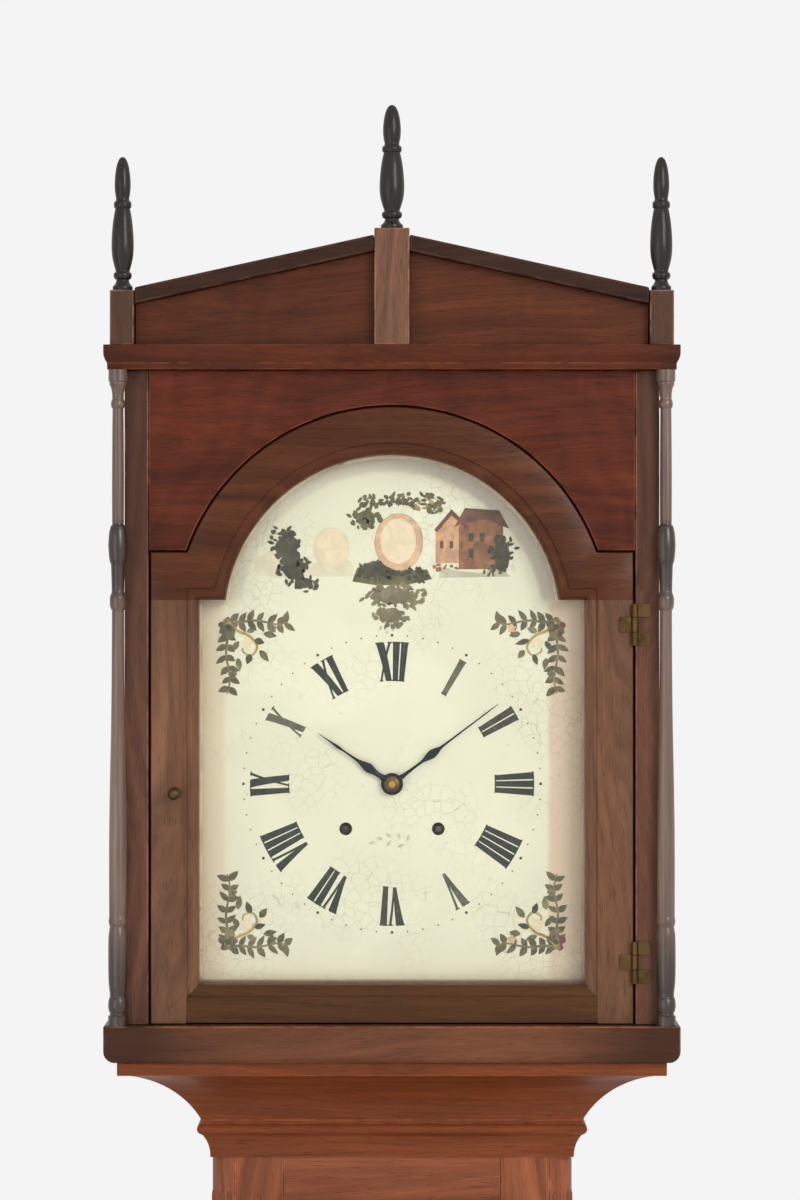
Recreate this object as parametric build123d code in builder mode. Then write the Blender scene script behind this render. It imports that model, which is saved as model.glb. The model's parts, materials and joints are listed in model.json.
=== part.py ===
from build123d import *
import math
import os

# ---------------------------------------------------------------- dimensions
# Tall-case clock, millimetres.  +Z up, the dial faces -Y, X to the right as
# seen from the front.  Origin: middle of the overall box, on the floor.
H_TOTAL = 2300.0            # tip of the centre finial
BACK = 132.0                # rear face of the case

# trunk
TR_HW = 141.5               # half width
TR_F = -52.0                # front face
TR_SIDE = 16.0              # side board thickness
TR_FRONT = 18.0             # front frame thickness
DOOR_HW = 85.0              # trunk door opening half width
DOOR_Z0, DOOR_Z1 = 690.0, 1440.0
TR_Z0, TR_Z1 = 600.0, 1502.0
THROAT_Z1 = 1563.0
SEAT_Z0, SEAT_Z1 = 1670.0, 1690.0

# base
BASE_HW = 195.0
BASE_F = -105.5
BASE_Z0, BASE_Z1 = 85.0, 560.0
FOOT_H = 70.0

# hood
HD_HW = 206.0               # half width over the side boards
HD_F = -116.6               # front of posts and door
HD_T = 20.0                 # thickness of posts, header and door frame
OVER = 15.4                 # projection of cornice and base mould
HD_Z0 = 1592.0
COR_Z0, COR_Z1 = 2096.0, 2115.0
EAVE_Z, APEX_Z = 2159.0, 2202.5
RAKE_X = 197.5
HDR_HW = 186.0              # hood door outer half width
OPEN_HW = 149.0             # hood door opening half width
OPEN_Z0 = 1622.4
SHOULDER = 1919.0           # shoulder of the arched opening
ARCH_CZ = 1901.0            # centre of the arch
ARCH_RI, ARCH_RO = 130.0, 167.0

# dial and movement (x, z measured from the dial centre; d = depth behind the
# front plate's inner face)
ZD = 1776.0
DIAL_Y = -82.0
FP0, FP1 = -37.0, -34.0     # front plate
BP0, BP1 = 26.0, 29.0       # back plate
BAR_X, BAR_Z = 36.0, -35.0  # barrel arbors
LINE_R = 18.3               # effective radius of the line on the barrel
DRUM_R = 17.5
PUL_R = 17.0
LINE_X = {"time": BAR_X - LINE_R, "strike": -BAR_X - LINE_R}      # both lines leave on the left
PUL_X = {k: v + PUL_R for k, v in LINE_X.items()}
TIE_X = {k: v + 2 * PUL_R for k, v in LINE_X.items()}
PUL_Z = 1560.0              # pulley centre, wound up
LINE_Y = 2.0
PEND_Z = ZD + 62.0          # pendulum suspension
PEND_Y = 51.0
PEND_L = 994.0
GAP = 0.05

os.makedirs("parts", exist_ok=True)


# ---------------------------------------------------------------- helpers
def at_y(y):
    """Sketch plane facing the front (-Y), at depth y; local x, y = X, Z."""
    return Plane.XZ.offset(-y)


def box(x0, x1, y0, y1, z0, z1, mode=Mode.ADD):
    with Locations(((x0 + x1) / 2, (y0 + y1) / 2, (z0 + z1) / 2)):
        Box(x1 - x0, y1 - y0, z1 - z0, mode=mode)


def rod_y(x, z, r, y0, y1, mode=Mode.ADD):
    with Locations((x, (y0 + y1) / 2, z)):
        Cylinder(r, y1 - y0, rotation=(90, 0, 0), mode=mode)


def rod_z(x, y, r, z0, z1, mode=Mode.ADD):
    with Locations((x, y, (z0 + z1) / 2)):
        Cylinder(r, z1 - z0, mode=mode)


def rod_x(y, z, r, x0, x1, mode=Mode.ADD):
    with Locations(((x0 + x1) / 2, y, z)):
        Cylinder(r, x1 - x0, rotation=(0, 90, 0), mode=mode)


def outline(pts):
    """Closed outline; a pair of points stands for an arc (through, end)."""
    cur = pts[0]
    for p in list(pts[1:]) + [pts[0]]:
        if isinstance(p[0], tuple):
            ThreePointArc(cur, p[0], p[1])
            cur = p[1]
        else:
            if abs(cur[0] - p[0]) + abs(cur[1] - p[1]) > 1e-6:
                Line(cur, p)
            cur = p


def face_of(plane, pts):
    with BuildSketch(plane) as s:
        with BuildLine():
            outline(pts)
        make_face()
    return s.sketch


def turned(cx, cy, prof):
    """Face of a turned profile (r, z), ready to revolve about its axis."""
    pl = Plane(origin=(cx, cy, 0), x_dir=(1, 0, 0), z_dir=(0, -1, 0))
    return face_of(pl, prof)


def z_axis(cx, cy):
    return Axis((cx, cy, 0), (0, 0, 1))


def mitred(prof, hw, yf, yb):
    """Moulding (offset, z) round the front and both sides, mitred corners."""
    far = max((p[1] if isinstance(p[0], tuple) else p)[0] for p in prof)

    def conv(fx, p):
        if isinstance(p[0], tuple):
            return ((fx(p[0][0]), p[0][1]), (fx(p[1][0]), p[1][1]))
        return (fx(p[0]), p[1])
    ln = hw + far + 5
    g = 0.03
    with BuildPart() as front:
        extrude(face_of(Plane.YZ.offset(-ln), [conv(lambda o: yf - o, p) for p in prof]), amount=2 * ln)
        split(bisect_by=Plane((hw - g, yf, 0), z_dir=(1, 1, 0)), keep=Keep.BOTTOM)
        split(bisect_by=Plane((-hw + g, yf, 0), z_dir=(-1, 1, 0)), keep=Keep.BOTTOM)
    with BuildPart() as right:
        extrude(face_of(at_y(yb), [conv(lambda o: hw + o, p) for p in prof]), amount=yb - yf + far + 5)
        split(bisect_by=Plane((hw + g, yf, 0), z_dir=(1, 1, 0)), keep=Keep.TOP)
    with BuildPart() as left:
        add(mirror(right.part, about=Plane.YZ, mode=Mode.PRIVATE))
    return front.part, right.part, left.part


def tooth_points(n, m, add_k, ded_k, tip, root, phase):
    r = m * n / 2
    pa = 2 * math.pi / n
    pts = []
    for k in range(n):
        c = phase + k * pa
        for rr, f in ((r - ded_k * m, -root / 2), (r + add_k * m, -tip / 2),
                      (r + add_k * m, tip / 2), (r - ded_k * m, root / 2)):
            a = c + f * pa
            pts.append((rr * math.cos(a), rr * math.sin(a)))
    return pts


def wheel(x, z, y0, y1, n, m, phase, hub=0.0):
    """Toothed wheel; with hub > 0 it is crossed out to four spokes."""
    with BuildSketch(at_y(y1)) as s:
        with Locations((x, z)):
            with BuildLine(mode=Mode.PRIVATE) as l:
                Polyline(*tooth_points(n, m, 0.8, 1.2, 0.18, 0.56, phase), close=True)
            add(make_face(l.edges(), mode=Mode.PRIVATE))
            if hub:
                ri = m * n / 2 - 1.2 * m - 2.4
                Circle(ri, mode=Mode.SUBTRACT)
                Circle(hub)
                Rectangle(2 * ri + 1, 2.6, rotation=math.degrees(phase))
                Rectangle(2 * ri + 1, 2.6, rotation=math.degrees(phase) + 90)
    extrude(s.sketch, amount=y1 - y0)


def pinion(x, z, y0, y1, n, m, phase):
    with BuildSketch(at_y(y1)) as s:
        with Locations((x, z)):
            with BuildLine(mode=Mode.PRIVATE) as l:
                Polyline(*tooth_points(n, m, 0.6, 1.3, 0.2, 0.40, phase), close=True)
            add(make_face(l.edges(), mode=Mode.PRIVATE))
    extrude(s.sketch, amount=y1 - y0)


def mesh_phase(na, fa, pa, nb, pb):
    """Phase of gear b so that it is in mesh with gear a."""
    al = math.atan2(pb[1] - pa[1], pb[0] - pa[0])
    ua = na * (al - fa) / (2 * math.pi)
    return al + math.pi - (2 * math.pi / nb) * (0.5 - ua)


def save(name, part):
    part.label = name
    export_step(part, "parts/%s.step" % name)


# ================================================================ CASE
with BuildPart() as back_board:           # one long board, with ears at hood and base
    box(-TR_HW, TR_HW, 120, BACK, BASE_Z0, 2088)
    for s in (-1, 1):
        a, b = sorted((s * (TR_HW + GAP), s * 193))
        box(a, b, 120, BACK, 1600, 2088)
        a, b = sorted((s * (TR_HW + GAP), s * BASE_HW))
        box(a, b, 120, BACK, BASE_Z0, BASE_Z1)
save("back_board", back_board.part)

with BuildPart() as trunk_sides:          # side boards, carried up as cheeks for the seat board
    for s in (-1, 1):
        a, b = sorted((s * (TR_HW - TR_SIDE), s * TR_HW))
        box(a, b, TR_F + TR_FRONT + GAP, 120 - GAP, TR_Z0 - 30, SEAT_Z0)
        a, b = sorted((s * (TR_HW + GAP), s * 191))
        box(a, b, -80, 119.9, HD_Z0 + 0.8, HD_Z0 + 13)     # kickers that keep the hood down
save("trunk_sides", trunk_sides.part)

with BuildPart() as trunk_front_frame:    # stiles, rails and quarter columns
    for s in (-1, 1):
        a, b = sorted((s * DOOR_HW, s * 123.5))
        box(a, b, TR_F, TR_F + TR_FRONT, TR_Z0, TR_Z1 - 2)
    box(-DOOR_HW + GAP, DOOR_HW - GAP, TR_F, TR_F + TR_FRONT, DOOR_Z1, TR_Z1 - 2)
    box(-DOOR_HW + GAP, DOOR_HW - GAP, TR_F, TR_F + TR_FRONT, TR_Z0, DOOR_Z0)
    for s in (-1, 1):
        cx = s * (123.5 + GAP)
        q = face_of(Plane.XY.offset(TR_Z0), [(cx, TR_F + TR_FRONT), (cx, TR_F),
                    ((cx + s * 18 * math.sin(math.pi / 4), TR_F + TR_FRONT - 18 * math.cos(math.pi / 4)),
                     (cx + s * 18, TR_F + TR_FRONT))])
        extrude(q, amount=TR_Z1 - 2 - TR_Z0)
save("trunk_front_frame", trunk_front_frame.part)

throat = [(GAP, 1482), (1.2, 1482), ((2.6, 1492), (6.6, 1499.6)), (8.8, 1501), ((11.2, 1505.0), (8.8, 1509)), (7.8, 1509), (7.8, 1512),
          ((29, 1537), (66, 1553)), (70, 1553), (70, THROAT_Z1), (GAP, THROAT_Z1)]
tf, tr_, tl = mitred(throat, TR_HW, TR_F, BACK)
with BuildPart() as throat_moulding:
    add(tf)
    add(tr_)
    add(tl)
save("throat_moulding", throat_moulding.part)

waist = [(GAP, BASE_Z1 + GAP), (53.5, BASE_Z1 + GAP), (53.5, 572), ((46, 580), (38, 582)), (38, 586),
         ((16, 600), (8, 626)), (8, 630), ((6, 638), (GAP, 640))]
wf, wr, wl = mitred(waist, TR_HW, TR_F, BACK)
skirt = [(GAP, FOOT_H), (10, FOOT_H), (10, 88), ((8, 97), (GAP, 100))]
sf, sr, sl = mitred(skirt, BASE_HW, BASE_F, BACK)
with BuildPart() as base_mouldings:
    for p in (wf, wr, wl, sf, sr, sl):
        add(p)
save("base_mouldings", base_mouldings.part)

with BuildPart() as base_box:             # front panel, two sides, floor board
    box(-BASE_HW, BASE_HW, BASE_F, BASE_F + 15, BASE_Z0, BASE_Z1)
    for s in (-1, 1):
        a, b = sorted((s * (BASE_HW - 15), s * BASE_HW))
        box(a, b, BASE_F + 15 + GAP, 120 - GAP, BASE_Z0, BASE_Z1)
    box(-BASE_HW, BASE_HW, BASE_F, 119.9, FOOT_H, BASE_Z0 - GAP)
save("base_box", base_box.part)

with BuildPart() as bracket_feet:         # ogee brackets: two front wings, four side wings
    fw = BASE_HW + 10
    ff = BASE_F - 10
    prof = [(0, 0), (26, 0), ((34, 20), (52, 32)), ((66, 40), (78, 52)), ((88, 60), (104, FOOT_H - GAP)),
            (0, FOOT_H - GAP)]

    def shift(f, p):
        return (tuple((f(q[0]), q[1]) for q in p)) if isinstance(p[0], tuple) else (f(p[0]), p[1])
    for s in (-1, 1):
        extrude(face_of(at_y(ff + 16), [shift(lambda u: s * (fw - u), p) for p in prof]), amount=16)
        pl = Plane.YZ.offset(fw - 16 if s > 0 else -fw)
        extrude(face_of(pl, [shift(lambda u: ff + 16 + GAP + u * 0.8, p) for p in prof]), amount=16)
        extrude(face_of(pl, [shift(lambda u: BACK - u * 0.8, p) for p in prof]), amount=16)
save("bracket_feet", bracket_feet.part)

with BuildPart() as seat_board:           # carries the movement; slots for the lines
    box(-TR_HW, TR_HW, -48, 38, SEAT_Z0, SEAT_Z1)
    for k in ("time", "strike"):
        box(LINE_X[k] - 4, LINE_X[k] + 4, -24, 16, SEAT_Z0 - 1, SEAT_Z1 + 1, mode=Mode.SUBTRACT)
        rod_z(TIE_X[k], LINE_Y, 1.6, SEAT_Z0 - 1, SEAT_Z1 + 1, mode=Mode.SUBTRACT)
save("seat_board", seat_board.part)

# ---------------------------------------------------------------- trunk door
TD_HW, TD_F, TD_B = 92.0, TR_F - 12.0, TR_F - 0.3
TD_Z0, TD_Z1 = DOOR_Z0 - 7, DOOR_Z1 + 7
TDH = (96.0, -58.5)                       # hinge pin, x and y
with BuildPart() as trunk_door:           # board with a lipped, ovolo edge
    box(-TD_HW, TD_HW, TD_F, TD_B, TD_Z0, TD_Z1)
    chamfer(trunk_door.faces().sort_by(Axis.Y)[0].edges(), length=4)
save("trunk_door", trunk_door.part)

with BuildPart() as trunk_door_hinges:    # fixed leaves with their pins
    for zc in (820.0, 1310.0):
        rod_z(TDH[0], TDH[1], 1.5, zc - 28, zc + 28)
        for a, b in ((zc - 28, zc - 10), (zc + 10, zc + 28)):
            rod_z(TDH[0], TDH[1], 3.0, a, b)
            box(TDH[0] + 1.5, TDH[0] + 3.0, TDH[1], TR_F, a, b)
            box(TDH[0] + 1.5, TDH[0] + 20, TR_F - 1.5, TR_F, a, b)
save("trunk_door_hinges", trunk_door_hinges.part)

with BuildPart() as trunk_door_furniture:  # moving leaves and the lock's escutcheon
    for zc in (820.0, 1310.0):
        rod_z(TDH[0], TDH[1], 3.0, zc - 9.8, zc + 9.8)
        box(TD_HW + GAP, TDH[0], TDH[1] - 0.8, TDH[1] + 0.8, zc - 9.8, zc + 9.8)
        box(TD_HW + GAP, TD_HW + 1.2, TDH[1] - 0.8, TD_B, zc - 9.8, zc + 9.8)
        rod_z(TDH[0], TDH[1], 1.55, zc - 10, zc + 10, mode=Mode.SUBTRACT)
    esc = face_of(at_y(TD_F - GAP), [(-83.0, 1078.0), ((-77.0, 1072.0), (-71.0, 1078.0)), (-71.0, 1112.0),
                                     ((-77.0, 1118.0), (-83.0, 1112.0))])
    extrude(esc, amount=1.2)
    rod_y(-77, 1098, 2.2, TD_F - 3, TD_F + 1, mode=Mode.SUBTRACT)
    box(-78, -76, TD_F - 3, TD_F + 1, 1088, 1098, mode=Mode.SUBTRACT)
save("trunk_door_furniture", trunk_door_furniture.part)

# ================================================================ HOOD
base_prof = [(-24, THROAT_Z1 + 0.3), (9, THROAT_Z1 + 0.3), ((13.6, 1567), (OVER, 1573)), (OVER, HD_Z0), (-24, HD_Z0)]
bf, br, bl = mitred(base_prof, HD_HW, HD_F, BACK)
with BuildPart() as hood_base_moulding:   # the frame the hood stands on, open at the back
    add(bf)
    add(br)
    add(bl)
save("hood_base_moulding", hood_base_moulding.part)

with BuildPart() as hood_sides:
    for s in (-1, 1):
        a, b = sorted((s * 194, s * HD_HW))
        box(a, b, HD_F + HD_T + GAP, BACK, HD_Z0 + GAP, COR_Z0 - GAP)
save("hood_sides", hood_sides.part)

with BuildPart() as hood_front_posts:     # fixed posts beside the door
    for s in (-1, 1):
        a, b = sorted((s * (HDR_HW + 1.5), s * HD_HW))
        box(a, b, HD_F, HD_F + HD_T, HD_Z0 + GAP, COR_Z0 - GAP)
save("hood_front_posts", hood_front_posts.part)

ro = ARCH_RO + 1.2
sh = SHOULDER + 37.0 + 1.2
xo = math.sqrt(ro ** 2 - (sh - ARCH_CZ) ** 2)
with BuildPart() as hood_frieze:          # fixed front board cut to the door's arch
    w = HDR_HW + 1.5 - GAP
    extrude(face_of(at_y(HD_F + HD_T), [(-w, sh), (-xo, sh), ((0, ARCH_CZ + ro), (xo, sh)), (w, sh),
                                        (w, COR_Z0 - GAP), (-w, COR_Z0 - GAP)]), amount=HD_T)
save("hood_frieze", hood_frieze.part)

MF, MB = HD_F + HD_T + 1.0, HD_F + HD_T + 8.0     # mask front and back
with BuildPart() as dial_mask:            # frame behind the door that borders the dial
    for s in (-1, 1):
        a, b = sorted((s * 147, s * 193.9))
        box(a, b, MF, MB, HD_Z0 + GAP, SHOULDER - 2)
    box(-147 + GAP, 147 - GAP, MF, MB, HD_Z0 + GAP, OPEN_Z0 + 2)
    rm = ARCH_RI - 2
    xm = math.sqrt(rm ** 2 - (SHOULDER - 2 + GAP - ARCH_CZ) ** 2)
    zt = SHOULDER - 2 + GAP
    extrude(face_of(at_y(MB), [(-193.9, zt), (-xm, zt), ((0, ARCH_CZ + rm), (xm, zt)), (193.9, zt),
                               (193.9, COR_Z0 - GAP), (-193.9, COR_Z0 - GAP)]), amount=MB - MF)
save("dial_mask", dial_mask.part)

cor_prof = [(-12, COR_Z0), (12.6, COR_Z0), (12.6, 2101), ((14.6, 2104.5), (OVER, 2109)), (OVER, COR_Z1), (-12, COR_Z1)]
cf, cr, cl = mitred(cor_prof, HD_HW, HD_F, BACK)
with BuildPart() as cornice:
    add(cf)
    add(cr)
    add(cl)
save("cornice", cornice.part)


def rake_z(x):
    return APEX_Z - (APEX_Z - EAVE_Z) * abs(x) / RAKE_X


with BuildPart() as tympanum:             # gable board, housed for the centre plinth
    b = 12.6
    extrude(face_of(at_y(-104), [(-RAKE_X + .1, COR_Z1 + GAP), (RAKE_X - .1, COR_Z1 + GAP),
                                 (RAKE_X - .1, rake_z(RAKE_X) - b), (0, APEX_Z - b), (-RAKE_X + .1, rake_z(RAKE_X) - b)]),
            amount=16)
    box(-13.6, 13.6, -130, -108.9, COR_Z1 - 1, APEX_Z + 2, mode=Mode.SUBTRACT)
save("tympanum", tympanum.part)

with BuildPart() as raking_cornice:
    for s in (-1, 1):
        extrude(face_of(at_y(-104), [(s * 13.65, rake_z(13.65)), (s * RAKE_X, EAVE_Z), (s * RAKE_X, EAVE_Z - 12.5),
                                     (s * 13.65, rake_z(13.65) - 12.5)]), amount=26)
save("raking_cornice", raking_cornice.part)

with BuildPart() as roof_boards:          # two slopes, two attic sides, dust board, rear gable
    for s in (-1, 1):
        x1 = HD_HW
        extrude(face_of(at_y(BACK), [(s * GAP, APEX_Z), (s * x1, rake_z(x1)), (s * x1, rake_z(x1) - 9), (s * GAP, APEX_Z - 9)]),
                amount=BACK + 104 - GAP)
        a, c = sorted((s * 194.5, s * HD_HW))
        box(a, c, -103.9, BACK, COR_Z1 + GAP, rake_z(x1) - 9.2)
    box(-193.8, 193.8, -104 + GAP, BACK, 2100, 2108)
    w = 193.8
    extrude(face_of(at_y(BACK), [(-w, 2108 + GAP), (w, 2108 + GAP), (w, rake_z(w) - 9.3), (0, APEX_Z - 9.3), (-w, rake_z(w) - 9.3)]),
            amount=12)
save("roof_boards", roof_boards.part)

with BuildPart() as plinths:              # blocks under the three finials
    box(-13.5, 13.5, -131, -109, COR_Z1 + GAP, 2204.5)
    for s in (-1, 1):
        a, c = sorted((s * 198, s * 216.5))
        box(a, c, -129.5, -108.5, COR_Z1 + GAP, 2157)
save("plinths", plinths.part)


def finial_profile(z0, h, k):
    """Vase finial: foot, ring, long body, collar, blunt spire (r, z)."""
    f = h / 100.0
    return [(0, z0), (8.6 * k, z0), (8.6 * k, z0 + 3 * f), ((7.0 * k, z0 + 5 * f), (5.4 * k, z0 + 8 * f)),
            (7.8 * k, z0 + 10 * f), (7.8 * k, z0 + 13 * f), (6.2 * k, z0 + 15 * f),
            ((9.6 * k, z0 + 28 * f), (9.2 * k, z0 + 40 * f)), ((8.2 * k, z0 + 52 * f), (6.4 * k, z0 + 61 * f)),
            (7.6 * k, z0 + 63 * f), (7.6 * k, z0 + 66 * f), (5.8 * k, z0 + 68 * f),
            ((7.2 * k, z0 + 78 * f), (6.2 * k, z0 + 88 * f)), (4.4 * k, z0 + 95.5 * f), (1.6 * k, z0 + 99.4 * f),
            (0.8 * k, z0 + 100 * f), (0, z0 + 100 * f)]


FIN_Y = -119.8
with BuildPart() as finials:
    revolve(turned(0, FIN_Y, finial_profile(2204.5 + GAP, H_TOTAL - 2204.5 - GAP, 1.0)), axis=z_axis(0, FIN_Y))
    for s in (-1, 1):
        revolve(turned(s * 207.2, -119.0, finial_profile(2157 + GAP, 103.0, 0.9)), axis=z_axis(s * 207.2, -119.0))
save("finials", finials.part)

COL_X, COL_Y = HD_HW + 4.5, HD_F - 7.6
z0, z1 = HD_Z0 + GAP, COR_Z0 - GAP
col = [(0, z0), (7.5, z0), (7.5, 1600), (6.2, 1602), ((7.6, 1608), (6.4, 1614)), (6.6, 1620), (7.5, 1628), (7.5, 1662),
       (6.2, 1668), (7.2, 1673), (6.9, 1740), (5.4, 1819), (4.7, 1900), (4.7, 1912), (6.2, 1916), (6.2, 1921), (4.8, 1926),
       (5.2, 1946), ((7.4, 1961), (5.4, 1976)), (4.5, 1980), (4.2, 2066), (5.4, 2070), (4.4, 2074), (6.4, 2084),
       (7.3, 2087), (7.3, z1), (0, z1)]
with BuildPart() as colonettes:           # turned columns at the hood's four corners
    for s in (-1, 1):
        revolve(turned(s * COL_X, COL_Y, col), axis=z_axis(s * COL_X, COL_Y))
        revolve(turned(s * (HD_HW + 7.6), BACK - 8.5, col), axis=z_axis(s * (HD_HW + 7.6), BACK - 8.5))
save("colonettes", colonettes.part)

# ---------------------------------------------------------------- hood door
D0, D1 = HD_F, HD_F + HD_T
DZ0 = HD_Z0 + 1.0
with BuildPart() as hood_door_frame:      # stiles, bottom rail and arched top rail
    for s in (-1, 1):
        a, c = sorted((s * OPEN_HW, s * HDR_HW))
        box(a, c, D0, D1, DZ0, SHOULDER - GAP)
    box(-OPEN_HW + GAP, OPEN_HW - GAP, D0, D1, DZ0, OPEN_Z0)
    xi = math.sqrt(ARCH_RI ** 2 - (SHOULDER - ARCH_CZ) ** 2)
    sh2 = SHOULDER + 37.0
    xo2 = math.sqrt(ARCH_RO ** 2 - (sh2 - ARCH_CZ) ** 2)
    extrude(face_of(at_y(D1), [(-HDR_HW, SHOULDER), (-xi, SHOULDER), ((0, ARCH_CZ + ARCH_RI), (xi, SHOULDER)),
                               (HDR_HW, SHOULDER), (HDR_HW, sh2), (xo2, sh2), ((0, ARCH_CZ + ARCH_RO), (-xo2, sh2)),
                               (-HDR_HW, sh2)]), amount=HD_T)
save("hood_door_frame", hood_door_frame.part)

with BuildPart() as hood_door_glass:
    hw = OPEN_HW - 0.2
    rg = ARCH_RI - 0.2
    zs = SHOULDER - 0.2
    xg = math.sqrt(rg ** 2 - (zs - ARCH_CZ) ** 2)
    extrude(face_of(at_y(D0 + 14.5), [(-hw, OPEN_Z0 + 0.2), (hw, OPEN_Z0 + 0.2), (hw, zs), (xg, zs),
                                      ((0, ARCH_CZ + rg), (-xg, zs)), (-hw, zs)]), amount=2.5)
save("hood_door_glass", hood_door_glass.part)

HDH = (187.0, HD_F - 2.6)                 # hinge pin of the hood door
with BuildPart() as hood_door_hinges:     # fixed knuckles and pins, on the right post
    for zc in (1640.0, 1900.0):
        rod_z(HDH[0], HDH[1], 1.2, zc - 16, zc + 16)
        for a, c in ((zc - 16, zc - 6), (zc + 6, zc + 16)):
            rod_z(HDH[0], HDH[1], 2.5, a, c)
            box(HDH[0], HDH[0] + 12, HD_F - 1.2, HD_F, a, c)
save("hood_door_hinges", hood_door_hinges.part)

with BuildPart() as hood_door_furniture:  # moving knuckles and the small pull
    for zc in (1640.0, 1900.0):
        rod_z(HDH[0], HDH[1], 2.5, zc - 5.8, zc + 5.8)
        box(HDH[0] - 12, HDH[0], HD_F - 1.2, HD_F, zc - 5.8, zc + 5.8)
        rod_z(HDH[0], HDH[1], 1.25, zc - 6, zc + 6, mode=Mode.SUBTRACT)
    rod_y(-167.5, 1770, 4.5, HD_F - 1.5, HD_F)
    rod_y(-167.5, 1770, 1.8, HD_F - 8, HD_F)
    with Locations((-167.5, HD_F - 10.0, 1770)):
        Sphere(4.6)
save("hood_door_furniture", hood_door_furniture.part)

# ================================================================ MOVEMENT
PINS = {   # arbors: x, z from the dial centre
    "centre": (0.0, 0.0), "third": (9.66, 21.75), "escape": (0.0, 38.0), "anchor": (0.0, 62.0),
    "time_barrel": (BAR_X, BAR_Z), "strike_barrel": (-BAR_X, BAR_Z), "pin": (-30.2, 6.0),
    "gather": (-24.4, 27.6), "warn": (-30.9, 45.4), "fly": (-19.0, 52.3), "hammer": (-64.0, 20.0),
}


def pos(k):
    return PINS[k][0], ZD + PINS[k][1]


def dy(d):
    """Depth d behind the front plate's inner face."""
    return FP1 + d


PIV = {"centre": 2.6, "third": 1.2, "escape": 1.2, "anchor": 2.5, "time_barrel": 3.0, "strike_barrel": 3.0,
       "pin": 1.2, "gather": 1.2, "warn": 1.2, "fly": 1.2, "hammer": 1.2}

with BuildPart() as movement_plates:
    for y0, y1 in ((FP0, FP1), (BP0, BP1)):
        box(-85, 85, y0, y1, ZD - 86, ZD + 84)
    for k, r in PIV.items():
        x, z = pos(k)
        rb = {"centre": 1.5, "anchor": 4.0}.get(k, r)
        rf = {"anchor": 1.2}.get(k, r)
        rod_y(x, z, rf + 0.05, FP0 - 1, FP1 + 1, mode=Mode.SUBTRACT)
        rod_y(x, z, rb + 0.05, BP0 - 1, BP1 + 1, mode=Mode.SUBTRACT)
    rod_y(0, ZD - 24, 0.7, -49, FP0)      # stud for the minute wheel
save("movement_plates", movement_plates.part)

with BuildPart() as movement_pillars:     # turned pillars, and the dial's four feet
    for x, z in ((-76, -78), (76, -78), (-76, 74), (76, 74)):
        rod_y(x, ZD + z, 4.0, FP1 + GAP, BP0 - GAP)
        rod_y(x, ZD + z, 6.0, FP1 + GAP, FP1 + 5)
        rod_y(x, ZD + z, 6.0, BP0 - 5, BP0 - GAP)
        rod_y(x, ZD + z, 6.0, -7, -1)
    for x, z in ((-70, -70), (70, -70), (-70, 62), (70, 62)):
        rod_y(x, ZD + z, 3.0, DIAL_Y + 2 + GAP, FP0 - GAP)
        rod_y(x, ZD + z, 5.0, DIAL_Y + 2 + GAP, DIAL_Y + 4)
save("movement_pillars", movement_pillars.part)

with BuildPart() as dial_plate:           # painted arched dial
    hw = 151.5
    rd = 133.5
    zs = SHOULDER + 3.5
    xd = math.sqrt(rd ** 2 - (zs - ARCH_CZ) ** 2)
    extrude(face_of(at_y(DIAL_Y + 2), [(-hw, 1619.5), (hw, 1619.5), (hw, zs), (xd, zs), ((0, ARCH_CZ + rd), (-xd, zs)),
                                       (-hw, zs)]), amount=2)
    rod_y(0, ZD, 4.6, DIAL_Y - 1, DIAL_Y + 3, mode=Mode.SUBTRACT)
    for s in (-1, 1):
        rod_y(s * BAR_X, ZD + BAR_Z, 5.0, DIAL_Y - 1, DIAL_Y + 3, mode=Mode.SUBTRACT)
save("dial_plate", dial_plate.part)

# ---- going train
ph_c8 = 0.0                               # centre pinion, 8
ph_gw = mesh_phase(8, ph_c8, PINS["centre"], 96, PINS["time_barrel"])
ph_c60 = 0.02
ph_t8 = mesh_phase(60, ph_c60, PINS["centre"], 8, PINS["third"])
ph_t56 = 0.0
ph_e7 = mesh_phase(56, ph_t56, PINS["third"], 7, PINS["escape"])
ph_can = 0.0
MW = (0.0, -24.0)
ph_mw = mesh_phase(40, ph_can, (0, 0), 40, MW)
ph_mp = 0.3
ph_hw = mesh_phase(6, ph_mp, MW, 72, (0, 0))

with BuildPart() as time_great_wheel:
    x, z = pos("time_barrel")
    wheel(x, z, dy(46), dy(48.5), 96, 0.9655, ph_gw, hub=9)
    rod_y(x, z, 3.05, dy(45), dy(50), mode=Mode.SUBTRACT)
    rod_y(x + 16.4 * math.cos(ph_gw), z + 16.4 * math.sin(ph_gw), 2.1, dy(43.2), dy(46.5))      # click
save("time_great_wheel", time_great_wheel.part)

with BuildPart() as centre_arbor:         # pinion of 8, wheel of 60, cannon wheel and pipe
    x, z = pos("centre")
    pinion(x, z, dy(42), dy(52), 8, 0.9655, ph_c8)
    wheel(x, z, dy(30), dy(32), 60, 0.7, ph_c60, hub=6)
    rod_y(x, z, 2.4, dy(0.3), dy(52))
    rod_y(x, z, 1.45, dy(52), dy(64))
    rod_y(x, z, 2.55, -92.6, dy(0.3))
    wheel(x, z, -41, -39, 40, 0.6, ph_can)
save("centre_arbor", centre_arbor.part)

with BuildPart() as third_wheel:
    x, z = pos("third")
    pinion(x, z, dy(27), dy(35), 8, 0.7, ph_t8)
    wheel(x, z, dy(12), dy(14), 56, 0.6, ph_t56, hub=5)
    rod_y(x, z, 1.6, dy(0.3), dy(59.7))
    rod_y(x, z, 1.15, dy(-3), dy(63))
save("third_wheel", third_wheel.part)

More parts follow.
